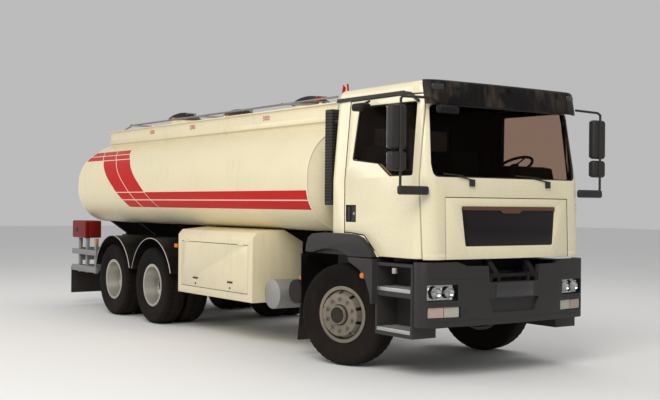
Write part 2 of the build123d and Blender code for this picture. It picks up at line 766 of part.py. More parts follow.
# The wall alone, without the floor, that the doors are taken from, and the room they need.
cab_wall_inner = cab_form(cab_wall, cab_floor_z - 1, cab_gutter_z)
with BuildPart() as door_room:
    add(cab_outer)
    add(cab_form(cab_wall + door_gap, cab_floor_z - 1, cab_gutter_z), mode=Mode.SUBTRACT)
    side_prism(door_outline, door_gap, (-1300, 1300), Mode.INTERSECT)
    block(
        (cab_rear_x, cab_front_x),
        (door_gap - door_inner_y, door_inner_y - door_gap),
        (cab_floor_z - 5, cab_top_z),
        mode=Mode.SUBTRACT,
    )
with BuildPart() as cab_shell:
    add(cab_outer)
    add(cab_inner, mode=Mode.SUBTRACT)
    add(door_room.part, mode=Mode.SUBTRACT)
    for side in SIDES.values():
        # Room for the door's front inner corner as it turns about its hinge.
        block(
            (door_hinge_x - 128, door_hinge_x),
            span(side, door_corner_y, 1300),
            (cab_floor_z - 1, cab_floor_z + cab_floor_thickness),
            mode=Mode.SUBTRACT,
        )
    front_plate(
        [
            (-flap_half_width - panel_gap, cab_floor_z - 10),
            (flap_half_width + panel_gap, cab_floor_z - 10),
            (flap_half_width + panel_gap, flap_top_z),
            (-flap_half_width - panel_gap, flap_top_z),
        ],
        (cab_front_x - 230, cab_front_x + 20),
        mode=Mode.SUBTRACT,
    )
    front_plate(screen_outline, (cab_front_x - 400, cab_front_x + 20), radius=60, mode=Mode.SUBTRACT)
    block(
        (cab_rear_x - 10, cab_rear_x + cab_wall + 10),
        (-rear_window_y, rear_window_y),
        rear_window_z,
        mode=Mode.SUBTRACT,
    )

firewall_x = (cab_front_x - 190, cab_front_x - 175)
with BuildPart() as firewall:
    add(cab_inner)
    block(firewall_x, (-door_corner_y, door_corner_y), (cab_floor_z, flap_top_z + 60), mode=Mode.INTERSECT)

# The shell is divided where its real panels meet.
rear_panel_x = cab_rear_x + cab_wall
front_panel_x = front_axle_x + 1150
cab_pieces = {
    "cab_roof": ((cab_rear_x - 5, cab_front_x + 5), (cab_gutter_z, cab_top_z + 5)),
    "cab_rear_wall": ((cab_rear_x - 5, rear_panel_x), (cab_floor_z + cab_floor_thickness, cab_gutter_z)),
    "cab_sides": ((rear_panel_x, front_panel_x), (cab_floor_z + cab_floor_thickness, cab_gutter_z)),
    "cab_front": ((front_panel_x, cab_front_x + 5), (cab_floor_z + cab_floor_thickness, cab_gutter_z)),
    "cab_floor": ((cab_rear_x - 5, cab_front_x + 5), (cab_floor_z - 5, cab_floor_z + cab_floor_thickness)),
}
for label, (x, z) in cab_pieces.items():
    with BuildPart() as panel:
        add(cab_shell.part)
        block(x, (-1300, 1300), z, mode=Mode.INTERSECT)
        if label == "cab_floor":
            add(firewall.part)
            for side in SIDES.values():
                arm = span(side, *pivot_arm_y)
                arm_x_low = tilt_pivot_x - 130
                side_plate(
                    [
                        (arm_x_low, cab_floor_z + 10),
                        (arm_x_low, cab_floor_z - 60),
                        (tilt_pivot_x - 34, tilt_pivot_z - 12),
                        (tilt_pivot_x, tilt_pivot_z - 36),
                        (tilt_pivot_x + 34, tilt_pivot_z - 12),
                        (tilt_pivot_x + 26, tilt_pivot_z + 60),
                        (tilt_pivot_x - 90, cab_floor_z + 10),
                    ],
                    arm,
                )
                rod(
                    (tilt_pivot_x, arm[0], tilt_pivot_z),
                    (tilt_pivot_x, arm[1], tilt_pivot_z),
                    pivot_radius + pin_clearance,
                    mode=Mode.SUBTRACT,
                )
    panel.part.label = label
    export_step(panel.part, f"parts/{label}.step")

cab_skin = cab_form(glass_inset, cab_floor_z, cab_gutter_z)
cab_skin_inner = cab_form(glass_inset + glass_thickness, cab_floor_z, cab_gutter_z)
with BuildPart() as windscreen:
    add(cab_skin)
    add(cab_skin_inner, mode=Mode.SUBTRACT)
    front_plate(screen_outline, (cab_front_x - 400, cab_front_x + 20), radius=60, mode=Mode.INTERSECT)
    block(
        (cab_rear_x + glass_inset, cab_rear_x + glass_inset + glass_thickness),
        (-rear_window_y, rear_window_y),
        rear_window_z,
    )
windscreen.part.label = "cab_glass"
export_step(windscreen.part, "parts/cab_glass.step")

# ------------------------------------------------------------------ doors
handle_x = (83, 275)
handle_z = (1514, 1694)
handle_depth = 28
for name, side in SIDES.items():
    with BuildPart() as door:
        add(cab_outer)
        add(cab_wall_inner, mode=Mode.SUBTRACT)
        side_prism(door_outline, 0, span(side, door_inner_y, 1300), Mode.INTERSECT)
        side_plate(from_axle(window_outline), span(side, 800, 1300), radius=28, mode=Mode.SUBTRACT)
        block(
            (front_axle_x + handle_x[0] + 12, front_axle_x + handle_x[1]),
            span(side, cab_half_width - handle_depth, cab_half_width + 10),
            handle_z,
            mode=Mode.SUBTRACT,
        )
    door.part.label = f"door_{name}"
    export_step(door.part, f"parts/door_{name}.step")

    with BuildPart() as door_glass:
        add(cab_skin)
        add(cab_skin_inner, mode=Mode.SUBTRACT)
        side_plate(from_axle(window_outline), span(side, 800, 1300), radius=28, mode=Mode.INTERSECT)
    door_glass.part.label = f"door_glass_{name}"
    export_step(door_glass.part, f"parts/door_glass_{name}.step")

# ------------------------------------------------------------------ front flap with grille
flap_thickness = 40
grille_top_half = 655
grille_low_half = 610
grille_z = (1296, 1689)
grille_outline = [
    (-grille_low_half, grille_z[0]),
    (grille_low_half, grille_z[0]),
    (grille_top_half, grille_z[1]),
    (-grille_top_half, grille_z[1]),
]
grille_depth = 22
cab_flap_inner = cab_form(flap_thickness, cab_floor_z - 1, cab_gutter_z)
with BuildPart() as front_flap:
    add(cab_outer)
    add(cab_flap_inner, mode=Mode.SUBTRACT)
    front_plate(
        [
            (-flap_half_width, cab_floor_z),
            (flap_half_width, cab_floor_z),
            (flap_half_width, flap_top_z - panel_gap),
            (-flap_half_width, flap_top_z - panel_gap),
        ],
        (cab_front_x - 200, cab_front_x + 20),
        mode=Mode.INTERSECT,
    )
    front_plate(grille_outline, (cab_front_x - 80, cab_front_x + 20), radius=22, mode=Mode.SUBTRACT)
front_flap.part.label = "front_flap"
export_step(front_flap.part, "parts/front_flap.step")

cab_grille_outer = cab_form(6, cab_floor_z, cab_gutter_z)
cab_grille_inner = cab_form(6 + grille_depth, cab_floor_z - 1, cab_gutter_z)
with BuildPart() as grille:
    add(cab_grille_outer)
    add(cab_grille_inner, mode=Mode.SUBTRACT)
    front_plate(grille_outline, (cab_front_x - 80, cab_front_x + 20), radius=22, mode=Mode.INTERSECT)
grille.part.label = "grille"
export_step(grille.part, "parts/grille.step")

# ------------------------------------------------------------------ cab fittings outside
visor_half_width = 1040
visor_z = (2680, 2920)
visor_edge_radius = -55
visor_outer = cab_form(-95, cab_floor_z, cab_top_z, visor_edge_radius)
visor_inner = cab_form(-68, cab_floor_z - 1, cab_top_z + 1, visor_edge_radius)
with BuildPart() as sun_visor:
    add(visor_outer)
    add(visor_inner, mode=Mode.SUBTRACT)
    block((front_axle_x + 1235, cab_front_x + 150), (-visor_half_width, visor_half_width), visor_z, mode=Mode.INTERSECT)
    for y in (-700, 0, 700):
        block((cab_front_x - 150, cab_front_x - 30), (y - 20, y + 20), (visor_z[1] - 75, visor_z[1] - 35))
    add(cab_outer, mode=Mode.SUBTRACT)
sun_visor.part.label = "sun_visor"
export_step(sun_visor.part, "parts/sun_visor.step")

fender_top = [(-560, 1176), (-545, 1262), (-505, 1340), (-425, 1378), (-250, 1392), (163, 1395), (330, 1384)]
fender_top += [(430, 1356), (520, 1296), (590, 1232), (634, 1180), (634, arch_split_z + 2)]
fender_inner = [(236, arch_split_z + 2), (140, 1200), (30, 1222), (-90, 1228), (-220, 1218), (-340, 1194), (-420, 1176)]
fender_outline = fender_top + fender_inner
with BuildPart() as cab_fenders:
    for side in SIDES.values():
        side_plate(from_axle(fender_outline), span(side, cab_half_width, fender_outer_y))

mirror_x = (front_axle_x + 1260, front_axle_x + 1350)
mirror_y = (1312, 1510)
big_mirror_z = (2224, 2649)
small_mirror_z = (2020, 2205)
mirror_tube_radius = 13
with BuildPart() as mirrors:
    for side in SIDES.values():
        for z in (big_mirror_z, small_mirror_z):
            block(mirror_x, span(side, *mirror_y), z)
    fillet(mirrors.edges().filter_by(Axis.Z), 30)
    for side in SIDES.values():
        tube_x = mirror_x[1] + 4
        tube_y = side * (mirror_y[0] + 88)
        rod((tube_x, tube_y, 1850), (tube_x, tube_y, 2735), mirror_tube_radius)
        rod((tube_x, tube_y + side * 13, 2735), (tube_x - 30, side * 1035, 2735), mirror_tube_radius)
        block((tube_x - 30, tube_x + 25), span(side, 1060, abs(tube_y) + 20), (1795, 1880))
    add(cab_outer, mode=Mode.SUBTRACT)
mirrors.part.label = "mirrors"
export_step(mirrors.part, "parts/mirrors.step")

duct_half_y = 62
duct_y = 1000
with BuildPart() as cab_trim:
    add(cab_fenders.part)
    side_plate(
        from_axle([(-385, 2735), (-258, 2735), (-258, 1690), (-385, 1690)]),
        (-duct_y - duct_half_y, -duct_y + duct_half_y),
    )
    for z in (1900, 2600):
        low_x = front_axle_x - 340
        block((low_x, cab_rear_x), (-duct_y - 25, -duct_y + 25), (z - 20, z + 20))
cab_trim.part.label = "cab_trim"
export_step(cab_trim.part, "parts/cab_trim.step")

# ------------------------------------------------------------------ cab inside
dash_front_x = firewall_x[0]
driver_y = 585
wheel_centre = Vector(front_axle_x + 850, driver_y, 2125)
wheel_tilt = math.radians(28)
wheel_rim_radius = 215
wheel_bar_radius = 15
wheel_face = Plane(origin=wheel_centre, x_dir=(0, 1, 0), z_dir=(-math.sin(wheel_tilt), 0, math.cos(wheel_tilt)))
with BuildPart() as dashboard:
    side_plate(
        [
            (dash_front_x, cab_floor_z + cab_floor_thickness),
            (dash_front_x, 1975),
            (dash_front_x - 180, 1990),
            (dash_front_x - 330, 1900),
            (dash_front_x - 330, 1640),
            (dash_front_x - 190, 1560),
            (dash_front_x - 190, cab_floor_z + cab_floor_thickness),
        ],
        (-960, 960),
        radius=18,
    )
    binnacle = [
        (dash_front_x - 40, 1960),
        (dash_front_x - 80, 2105),
        (dash_front_x - 200, 2125),
        (dash_front_x - 240, 1900),
    ]
    side_plate(binnacle, (360, 860))
    rod(wheel_centre - wheel_face.z_dir * 40, wheel_centre - wheel_face.z_dir * 240, 32)
    rod(wheel_centre - wheel_face.z_dir * 42, wheel_centre + wheel_face.z_dir * 10, 60)
    with BuildSketch(Plane(origin=wheel_centre, x_dir=wheel_face.y_dir, z_dir=wheel_face.x_dir)) as bar:
        with Locations((wheel_rim_radius, 0)):
            Circle(wheel_bar_radius)
    revolve(bar.sketch, axis=Axis(wheel_centre, wheel_face.z_dir))
    for across, along in ((1, 0), (-1, 0), (0, -1)):
        tip = wheel_face.from_local_coords(Vector((wheel_rim_radius - 3) * across, (wheel_rim_radius - 3) * along, 0))
        rod(wheel_centre, tip, 8)
dashboard.part.label = "dashboard"
export_step(dashboard.part, "parts/dashboard.step")

seat_half_width = 250
seat_base_z = 1620
seat_rear_x = rear_panel_x + 60
with BuildPart() as seats:
    for side in SIDES.values():
        y = (side * driver_y - seat_half_width, side * driver_y + seat_half_width)
        side_plate(
            [
                (seat_rear_x + 110, seat_base_z - 130),
                (seat_rear_x + 640, seat_base_z - 110),
                (seat_rear_x + 640, seat_base_z),
                (seat_rear_x + 250, seat_base_z + 10),
                (seat_rear_x + 140, seat_base_z + 720),
                (seat_rear_x + 20, seat_base_z + 720),
                (seat_rear_x + 90, seat_base_z - 100),
            ],
            y,
            radius=12,
        )
        block(
            (seat_rear_x + 200, seat_rear_x + 560),
            (y[0] + 80, y[1] - 80),
            (cab_floor_z + cab_floor_thickness, seat_base_z - 118),
        )
seats.part.label = "seats"
export_step(seats.part, "parts/seats.step")

# ------------------------------------------------------------------ tank
crown_radius = (
    (tank_half_width - tank_shoulder_radius) ** 2 + (tank_top_z - tank_waist_z) ** 2 - tank_shoulder_radius**2
) / (2 * (tank_top_z - tank_waist_z - tank_shoulder_radius))
corner_y = tank_half_width - tank_corner_radius
tank_corner_z = tank_bottom_z + tank_corner_radius + tank_keel_sag
keel_radius = (corner_y**2 + 2 * tank_corner_radius * tank_keel_sag + tank_keel_sag**2) / (2 * tank_keel_sag)


def tank_outline(x, inset):
    """The tank's section at one X: crown, shoulders, corners and keel as tangent arcs."""
    crown_z = tank_top_z - crown_radius
    shoulder_y = tank_half_width - tank_shoulder_radius
    keel_z = tank_bottom_z + keel_radius
    shoulder_angle = math.degrees(math.atan2(tank_waist_z - crown_z, shoulder_y))
    keel_angle = math.degrees(math.atan2(keel_z - tank_corner_z, corner_y))
    with BuildSketch(Plane.YZ.offset(x)) as section:
        with BuildLine():
            CenterArc((0, crown_z), crown_radius - inset, shoulder_angle, 180 - 2 * shoulder_angle)
            CenterArc((0, keel_z), keel_radius - inset, keel_angle - 180, 180 - 2 * keel_angle)
            CenterArc((shoulder_y, tank_waist_z), tank_shoulder_radius - inset, 0, shoulder_angle)
            CenterArc((corner_y, tank_corner_z), tank_corner_radius - inset, -keel_angle, keel_angle)
            Line((tank_half_width - inset, tank_corner_z), (tank_half_width - inset, tank_waist_z))
            CenterArc((-shoulder_y, tank_waist_z), tank_shoulder_radius - inset, 180 - shoulder_angle, shoulder_angle)
            CenterArc((-corner_y, tank_corner_z), tank_corner_radius - inset, 180, keel_angle)
            Line((inset - tank_half_width, tank_corner_z), (inset - tank_half_width, tank_waist_z))
        make_face()
    return section.sketch


with BuildPart() as tank:
    extrude(tank_outline(tank_rear_x, 0), amount=tank_front_x - tank_rear_x)
    for end_x, way in ((tank_front_x, 1), (tank_rear_x, -1)):
        head = [
            tank_outline(end_x + way * reach * tank_head_bulge, shrink * tank_corner_radius)
            for shrink, reach in tank_head_steps
        ]
        loft(head, ruled=True)
tank.part.label = "tank"
export_step(tank.part, "parts/tank.step")

# ------------------------------------------------------------------ tank saddles and sub-frame
subframe_height = 120
saddle_xs = [2150, 850, -400, -1640, -2960, -4050]
saddle_half_base = 430
saddle_half_top = 860
with BuildPart() as chassis_frame:
    add(frame.part)
    for side in SIDES.values():
        block((tank_rear_x + 20, tank_front_x - 60), span(side, rail_inner_y, rail_outer_y), (rail_top_z, rail_top_z + subframe_height))
    for x in saddle_xs:
        front_plate(
            mirrored(
                [
                    (saddle_half_base, rail_top_z + subframe_height - 20),
                    (saddle_half_base, rail_top_z + subframe_height + 30),
                    (saddle_half_top, tank_bottom_z + 130),
                ]
            ),
            (x - 35, x + 35),
        )
    add(tank.part, mode=Mode.SUBTRACT)
chassis_frame.part.label = "frame"
export_step(chassis_frame.part, "parts/frame.step")

# ------------------------------------------------------------------ tank top
# Name, place along the truck and height of the lid's top.
manholes = [
    ("rear", front_axle_x - 5860, 3140),
    ("middle", front_axle_x - 4100, 3070),
    ("front", front_axle_x - 2230, 3110),
]
collar_radius = 240
collar_wall = 12
lid_radius = 260
lid_height = 130
lid_skirt = 30
lid_wall = 8
hinge_reach = lid_radius + 24
hinge_rise = 12
hinge_pin_radius = 8
walkway_z = 2812
walkway_y = (-700, -470)
handrail_y = -520
post_length = 900
post_lean = 4.7
post_pivot_z = 2885
post_pivot_xs = [front_axle_x - 5800, front_axle_x - 3550, front_axle_x - 1200]
post_radius = 15
rail_radius = 17
pivot_pin_radius = 8
lean_x = -post_length * math.cos(math.radians(post_lean))
lean_z = post_length * math.sin(math.radians(post_lean))
post_y = handrail_y - 26
ear_y = handrail_y - 52
with BuildPart() as tank_top:
    outer_y = coaming_half_width
    block((coaming_rear_x, coaming_front_x), (-outer_y, outer_y), (tank_waist_z + 300, coaming_top_z))
    inner_y = outer_y - coaming_wall
    block(
        (coaming_rear_x + coaming_wall, coaming_front_x - coaming_wall),
        (-inner_y, inner_y),
        (tank_waist_z + 200, coaming_top_z + 10),
        mode=Mode.SUBTRACT,
    )
    for side in SIDES.values():
        # Rolled edge on top and the moulding along the weld.
        block((coaming_rear_x - 120, coaming_front_x), span(side, outer_y - 2, outer_y + 22), (coaming_top_z - 14, coaming_top_z))
        block((coaming_rear_x, coaming_front_x), span(side, outer_y - 2, outer_y + 26), (2648, 2712))
    # Walkway on its supports.
    block((coaming_rear_x + 40, coaming_front_x - 40), walkway_y, (walkway_z, walkway_z + 12))
    for x in range(int(coaming_rear_x) + 120, int(coaming_front_x) - 100, 780):
        block((x - 20, x + 20), (walkway_y[0] + 10, walkway_y[1] - 10), (2500, walkway_z + 2))
    for name, x, top_z in manholes:
        low_z = top_z - lid_height
        rod((x, 0, 2600), (x, 0, low_z - seat_gap), collar_radius)
        rod((x, 0, 2500), (x, 0, low_z), collar_radius - collar_wall, mode=Mode.SUBTRACT)
        pin = (x - hinge_reach, low_z + hinge_rise)
        for edge in (-1, 1):
            # Hinge ear beside the lid's knuckle, on an arm from the collar.
            ear = tuple(sorted((edge * 50, edge * 62)))
            block((pin[0] - 14, x - collar_radius + 6), ear, (low_z - 60, low_z - 12))
            block((pin[0] - 14, pin[0] + 14), ear, (low_z - 60, pin[1] + 14))
        rod((pin[0], -62, pin[1]), (pin[0], 62, pin[1]), hinge_pin_radius)
    add(tank.part, mode=Mode.SUBTRACT)
    # Feet with the pins of the folding handrail.
    for x in post_pivot_xs:
        block((x - 25, x + 25), (ear_y - 5, ear_y + 5), (walkway_z + 12, post_pivot_z + 22))
        block((x - 25, x + 25), (ear_y - 5, ear_y + 45), (walkway_z + 12, walkway_z + 20))
        rod((x, ear_y, post_pivot_z), (x, post_y + 14, post_pivot_z), pivot_pin_radius)
    side_plate(
        [(coaming_front_x - 110, coaming_top_z - 20), (coaming_front_x - 4, coaming_top_z - 20), (coaming_front_x - 34, 3080)],
        (-590, -562),
    )
tank_top.part.label = "tank_top"
export_step(tank_top.part, "parts/tank_top.step")

dome_rise = lid_height - lid_skirt
dome_radius = (lid_radius**2 + dome_rise**2) / (2 * dome_rise)
for name, x, top_z in manholes:
    low_z = top_z - lid_height
    pin = (x - hinge_reach, low_z + hinge_rise)
    with BuildPart() as lid:
        with BuildSketch(Plane(origin=(x, 0, low_z), x_dir=(1, 0, 0), z_dir=(0, -1, 0))) as dome:
            with BuildLine():
                Polyline((0, lid_height), (0, 0), (lid_radius, 0), (lid_radius, lid_skirt))
                ThreePointArc(
                    (lid_radius, lid_skirt),
                    (
                        dome_radius * math.sin(math.asin(lid_radius / dome_radius) / 2),
                        lid_height - dome_radius * (1 - math.cos(math.asin(lid_radius / dome_radius) / 2)),
                    ),
                    (0, lid_height),
                )
            make_face()
        revolve(dome.sketch, axis=Axis((x, 0, 0), (0, 0, 1)))
        block((pin[0], x - lid_radius + 12), (-40, 40), (low_z, low_z + 2 * hinge_rise))
        rod((pin[0], -40, pin[1]), (pin[0], 40, pin[1]), hinge_pin_radius + 8)
        rod((pin[0], -50, pin[1]), (pin[0], 50, pin[1]), hinge_pin_radius + pin_clearance, mode=Mode.SUBTRACT)
    lid.part.label = f"manhole_lid_{name}"
    export_step(lid.part, f"parts/manhole_lid_{name}.step")

# ------------------------------------------------------------------ folding handrail
for number, x in enumerate(post_pivot_xs, start=1):
    top = (x + lean_x, post_pivot_z + lean_z)
    with BuildPart() as post:
        rod((x, post_y, post_pivot_z), (top[0], post_y, top[1]), post_radius - 3)
        rod((x, post_y - 12, post_pivot_z), (x, post_y + 12, post_pivot_z), post_radius + 5)
        rod((top[0], post_y - 10, top[1]), (top[0], post_y + 10, top[1]), post_radius + 3)
        rod((x, post_y - 30, post_pivot_z), (x, post_y + 30, post_pivot_z), pivot_pin_radius + pin_clearance, mode=Mode.SUBTRACT)
        rod((top[0], post_y - 30, top[1]), (top[0], post_y + 30, top[1]), pivot_pin_radius + pin_clearance, mode=Mode.SUBTRACT)
    post.part.label = f"handrail_post_{number}"
    export_step(post.part, f"parts/handrail_post_{number}.step")

rail_z = post_pivot_z + lean_z
rail_ends_x = (front_axle_x - 6730, front_axle_x - 920)
with BuildPart() as handrail:
    rod((rail_ends_x[0], handrail_y, rail_z), (rail_ends_x[1], handrail_y, rail_z), rail_radius - 4)
    rod((rail_ends_x[0] - 330, handrail_y, rail_z - 72), (rail_ends_x[0] + 6, handrail_y, rail_z), rail_radius - 4)
    for x in post_pivot_xs:
        rod((x + lean_x, post_y - 12, rail_z), (x + lean_x, handrail_y, rail_z), pivot_pin_radius)
handrail.part.label = "handrail"
export_step(handrail.part, "parts/handrail.step")

# ------------------------------------------------------------------ tool cabinet, right side
cabinet_x = (front_axle_x - 3600, front_axle_x - 1650)
cabinet_wall = 25
cabinet_outline = [(-1220, 515), (-1220, 1285), (-1163, 1348), (-780, 1384), (-510, 1237), (-510, 515)]
cabinet_hollow = [(-1195, 540), (-1195, 1275), (-1150, 1322), (-785, 1356), (-535, 1222), (-535, 540)]
cabinet_door_x = (front_axle_x - 3500, front_axle_x - 1770)
cabinet_door_z = (615, 1192)
cabinet_hinge_xs = [cabinet_door_x[0] + 160, cabinet_door_x[1] - 160]
cabinet_hinge = (-1227, cabinet_door_z[1] + panel_gap)
with BuildPart() as cabinet:
    front_plate(cabinet_outline, cabinet_x)
    front_plate(cabinet_hollow, (cabinet_x[0] + cabinet_wall, cabinet_x[1] - cabinet_wall), mode=Mode.SUBTRACT)
    block(
        (cabinet_door_x[0] - panel_gap, cabinet_door_x[1] + panel_gap),
        (-1230, -1190),
        (cabinet_door_z[0] - panel_gap, cabinet_door_z[1] + panel_gap),
        mode=Mode.SUBTRACT,
    )
    for x in (cabinet_x[0] + 300, cabinet_x[1] - 300):
        block((x - 30, x + 30), (-511, -rail_outer_y), (800, 980))
    for x in cabinet_hinge_xs:
        for edge in (-70, 70):
            block((x + edge - 6, x + edge + 6), (cabinet_hinge[0] - 7, -1219), (cabinet_hinge[1] - 7, cabinet_hinge[1] + 14))
        rod((x - 76, *cabinet_hinge), (x + 76, *cabinet_hinge), 3.5)
cabinet.part.label = "tool_cabinet"
export_step(cabinet.part, "parts/tool_cabinet.step")

with BuildPart() as cabinet_door:
    block(cabinet_door_x, (-1220, -1198), cabinet_door_z)
    for x in cabinet_hinge_xs:
        block((x - 60, x + 60), (cabinet_hinge[0], -1212), (cabinet_door_z[1] - 8, cabinet_hinge[1]))
        rod((x - 60, *cabinet_hinge), (x + 60, *cabinet_hinge), 7)
        rod((x - 70, *cabinet_hinge), (x + 70, *cabinet_hinge), 3.5 + pin_clearance, mode=Mode.SUBTRACT)
cabinet_door.part.label = "cabinet_door"
export_step(cabinet_door.part, "parts/cabinet_door.step")

# ------------------------------------------------------------------ left side: diesel tank and battery box
fuel_x = (350, 1500)
fuel_y = (520, 1190)
fuel_z = (470, 1090)
with BuildPart() as fuel_tank:
    block(fuel_x, fuel_y, fuel_z)
    fillet(fuel_tank.edges().filter_by(Axis.X), 70)
    rod((1320, 1000, 1080), (1320, 1000, 1130), 48)
    for x in (600, 1250):
        block((x - 30, x + 30), (rail_outer_y, fuel_y[0] + 10), (780, 980))

with BuildPart() as side_boxes:
    block((-350, 250), (520, 1150), (560, 1010))
    fillet(side_boxes.edges().filter_by(Axis.X), 25)
    add(fuel_tank.part)
    block((-90, -10), (rail_outer_y, 530), (780, 980))
side_boxes.part.label = "side_boxes"
export_step(side_boxes.part, "parts/side_boxes.step")

# ------------------------------------------------------------------ silencer and air tanks
silencer_x = front_axle_x - 1375
silencer_z = 640
silencer_radius = 172
air_tank_x = front_axle_x - 960
with BuildPart() as drums:
    rod((silencer_x, -1110, silencer_z), (silencer_x, -470, silencer_z), silencer_radius)
    block((silencer_x - 40, silencer_x + 40), (-600, -rail_outer_y), (780, 900))
    rod((air_tank_x, -1060, 700), (air_tank_x, -500, 700), 135)
    block((air_tank_x - 40, air_tank_x + 40), (-560, -rail_outer_y), (780, 860))
    rod((1700, 600, 640), (2300, 600, 640), 120)
    block((1960, 2040), (rail_outer_y, 560), (700, 860))
drums.part.label = "silencer_and_air_tanks"
export_step(drums.part, "parts/silencer_and_air_tanks.step")

# ------------------------------------------------------------------ rear end
box_z = (1120, 1400)
bar_x = (rear_x + 25, front_axle_x - 6530)
bar_y = (1150, 1200)
bar_zs = [(580, 675), (854, 934)]
post_xs = [rear_x + 225, front_axle_x - 7050, front_axle_x - 6680]
underrun_x = (rear_x + 25, rear_x + 115)
underrun_z = (545, 665)
ladder_x = rear_x + 60
ladder_y = (300, 640)
ladder_z = (1010, 2960)
with BuildPart() as rear_bars:
    for side in SIDES.values():
        for z in bar_zs:
            block(bar_x, span(side, *bar_y), z)
        for x in post_xs:
            block((x - 35, x + 35), span(side, bar_y[0] - 45, bar_y[0]), (560, box_z[0]))
            block((x - 30, x + 30), span(side, rail_outer_y, bar_y[0] - 40), (900, 960))
        block(
            (underrun_x[0] + 5, rail_rear_x + 65),
            span(side, rail_outer_y, rail_outer_y + 14),
            (underrun_z[0] + 20, rail_top_z - 60),
        )
    block(underrun_x, (-1095, 1095), underrun_z)
    for y in ladder_y:
        rod((ladder_x, y, ladder_z[0]), (ladder_x, y, ladder_z[1]), 18)
        rod((ladder_x, y, 1600), (tank_rear_x - 20, y, 1600), 14)
        rod((ladder_x, y, ladder_z[1] - 15), (coaming_rear_x + 5, y, coaming_top_z + 8), 16)
    for step in range(7):
        z = ladder_z[0] + 60 + step * 275
        rod((ladder_x, ladder_y[0], z), (ladder_x, ladder_y[1], z), 14)
    add(tank.part, mode=Mode.SUBTRACT)
    add(tank_top.part, mode=Mode.SUBTRACT)
rear_bars.part.label = "rear_bars"
export_step(rear_bars.part, "parts/rear_bars.step")

with BuildPart() as lamps:
    add(lamp_sets)
    block((rear_x + 60, rear_x + 100), (-1090, 1090), (740, 850))
    for side in SIDES.values():
        block((rear_x + 10, rear_x + 60), span(side, 640, 1080), (748, 842))
    add(rear_bars.part, mode=Mode.SUBTRACT)
lamps.part.label = "lamps"
export_step(lamps.part, "parts/lamps.step")

# ------------------------------------------------------------------ extinguisher box
box_x = (front_axle_x - 7540, front_axle_x - 6975)
box_y = (930, 1200)
box_lid = 70
box_wall = 6
with BuildPart() as extinguisher_box:
    block(box_x, span(-1, box_y[0], box_y[1] - box_lid - seat_gap), box_z)
    fillet(extinguisher_box.edges().filter_by(Axis.Y), 30)
    block(
        (box_x[0] + box_wall + 4, box_x[1] - box_wall - 4),
        span(-1, box_y[0] + box_wall, box_y[1]),
        (box_z[0] + box_wall + 4, box_z[1] - box_wall - 4),
        mode=Mode.SUBTRACT,
    )
extinguisher_box.part.label = "extinguisher_box"
export_step(extinguisher_box.part, "parts/extinguisher_box.step")

with BuildPart() as extinguisher_lid:
    block(box_x, span(-1, box_y[1] - box_lid, box_y[1]), box_z)
    fillet(extinguisher_lid.edges().filter_by(Axis.Y), 30)
    fillet(extinguisher_lid.faces().sort_by(Axis.Y)[0].edges(), 18)
    block(
        (box_x[0] + 16, box_x[1] - 16),
        span(-1, box_y[1] - box_lid - 5, box_y[1] - box_wall - 6),
        (box_z[0] + 16, box_z[1] - 16),
        mode=Mode.SUBTRACT,
    )
extinguisher_lid.part.label = "extinguisher_lid"
export_step(extinguisher_lid.part, "parts/extinguisher_lid.step")
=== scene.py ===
import json
import math

import bmesh
import bpy
from bpy.props import FloatProperty, PointerProperty
from mathutils import Matrix, Vector

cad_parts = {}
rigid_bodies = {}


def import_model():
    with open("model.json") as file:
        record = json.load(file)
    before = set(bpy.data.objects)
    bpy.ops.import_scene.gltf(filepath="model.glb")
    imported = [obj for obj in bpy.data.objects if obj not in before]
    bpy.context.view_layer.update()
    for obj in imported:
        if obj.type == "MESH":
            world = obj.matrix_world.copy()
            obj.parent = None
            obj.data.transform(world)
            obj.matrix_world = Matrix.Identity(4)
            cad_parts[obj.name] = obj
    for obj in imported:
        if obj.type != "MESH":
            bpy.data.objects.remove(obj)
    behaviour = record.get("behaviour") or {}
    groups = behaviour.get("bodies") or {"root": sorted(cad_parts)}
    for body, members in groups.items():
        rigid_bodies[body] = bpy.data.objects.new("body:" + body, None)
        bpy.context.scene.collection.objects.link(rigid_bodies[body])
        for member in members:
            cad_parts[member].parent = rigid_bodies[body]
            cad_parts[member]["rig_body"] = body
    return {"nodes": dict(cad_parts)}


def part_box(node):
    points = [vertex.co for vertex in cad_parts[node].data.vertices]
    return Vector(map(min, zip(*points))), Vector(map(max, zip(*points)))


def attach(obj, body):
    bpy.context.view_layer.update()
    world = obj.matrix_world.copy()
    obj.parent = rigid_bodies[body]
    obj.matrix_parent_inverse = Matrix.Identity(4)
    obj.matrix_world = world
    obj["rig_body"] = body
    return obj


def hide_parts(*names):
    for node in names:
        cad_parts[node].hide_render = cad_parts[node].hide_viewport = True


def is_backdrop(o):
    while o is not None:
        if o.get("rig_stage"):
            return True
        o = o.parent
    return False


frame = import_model()

bl_info = {
    "name": "Tanker truck",
    "version": (1, 0, 0),
    "blender": (4, 5, 0),
    "location": "3D View > Sidebar > Tanker",
    "description": "Dresses the packed tanker truck with its finishes and small parts",
    "category": "Object",
}

SIDES = {"right": -1, "left": 1}
AXLE_X = 3.050
REAR_AXLES = {"rear1": -1.375, "rear2": -2.725}
HUB_Z = 0.538
TWIN = 0.350
STEER = math.radians(18)
PLATE_FACE_X = 4.5265
TAIL_PANEL_X = -4.464
SMOOTH = math.radians(32)
CREAM = (0.80, 0.715, 0.49)
STRIPE_RED = (0.54, 0.003, 0.002)
ROAD_DIRT = (0.16, 0.13, 0.095)
PLASTIC_DIRT = (0.07, 0.06, 0.05)
VISOR_DIRT = (0.07, 0.058, 0.05)
FADED_PLASTIC = (0.07, 0.052, 0.038)
TYRE_DIRT = (0.07, 0.052, 0.04)
BRAKE_DUST = (0.1, 0.08, 0.06)
SILVER_DIRT = (0.12, 0.10, 0.07)


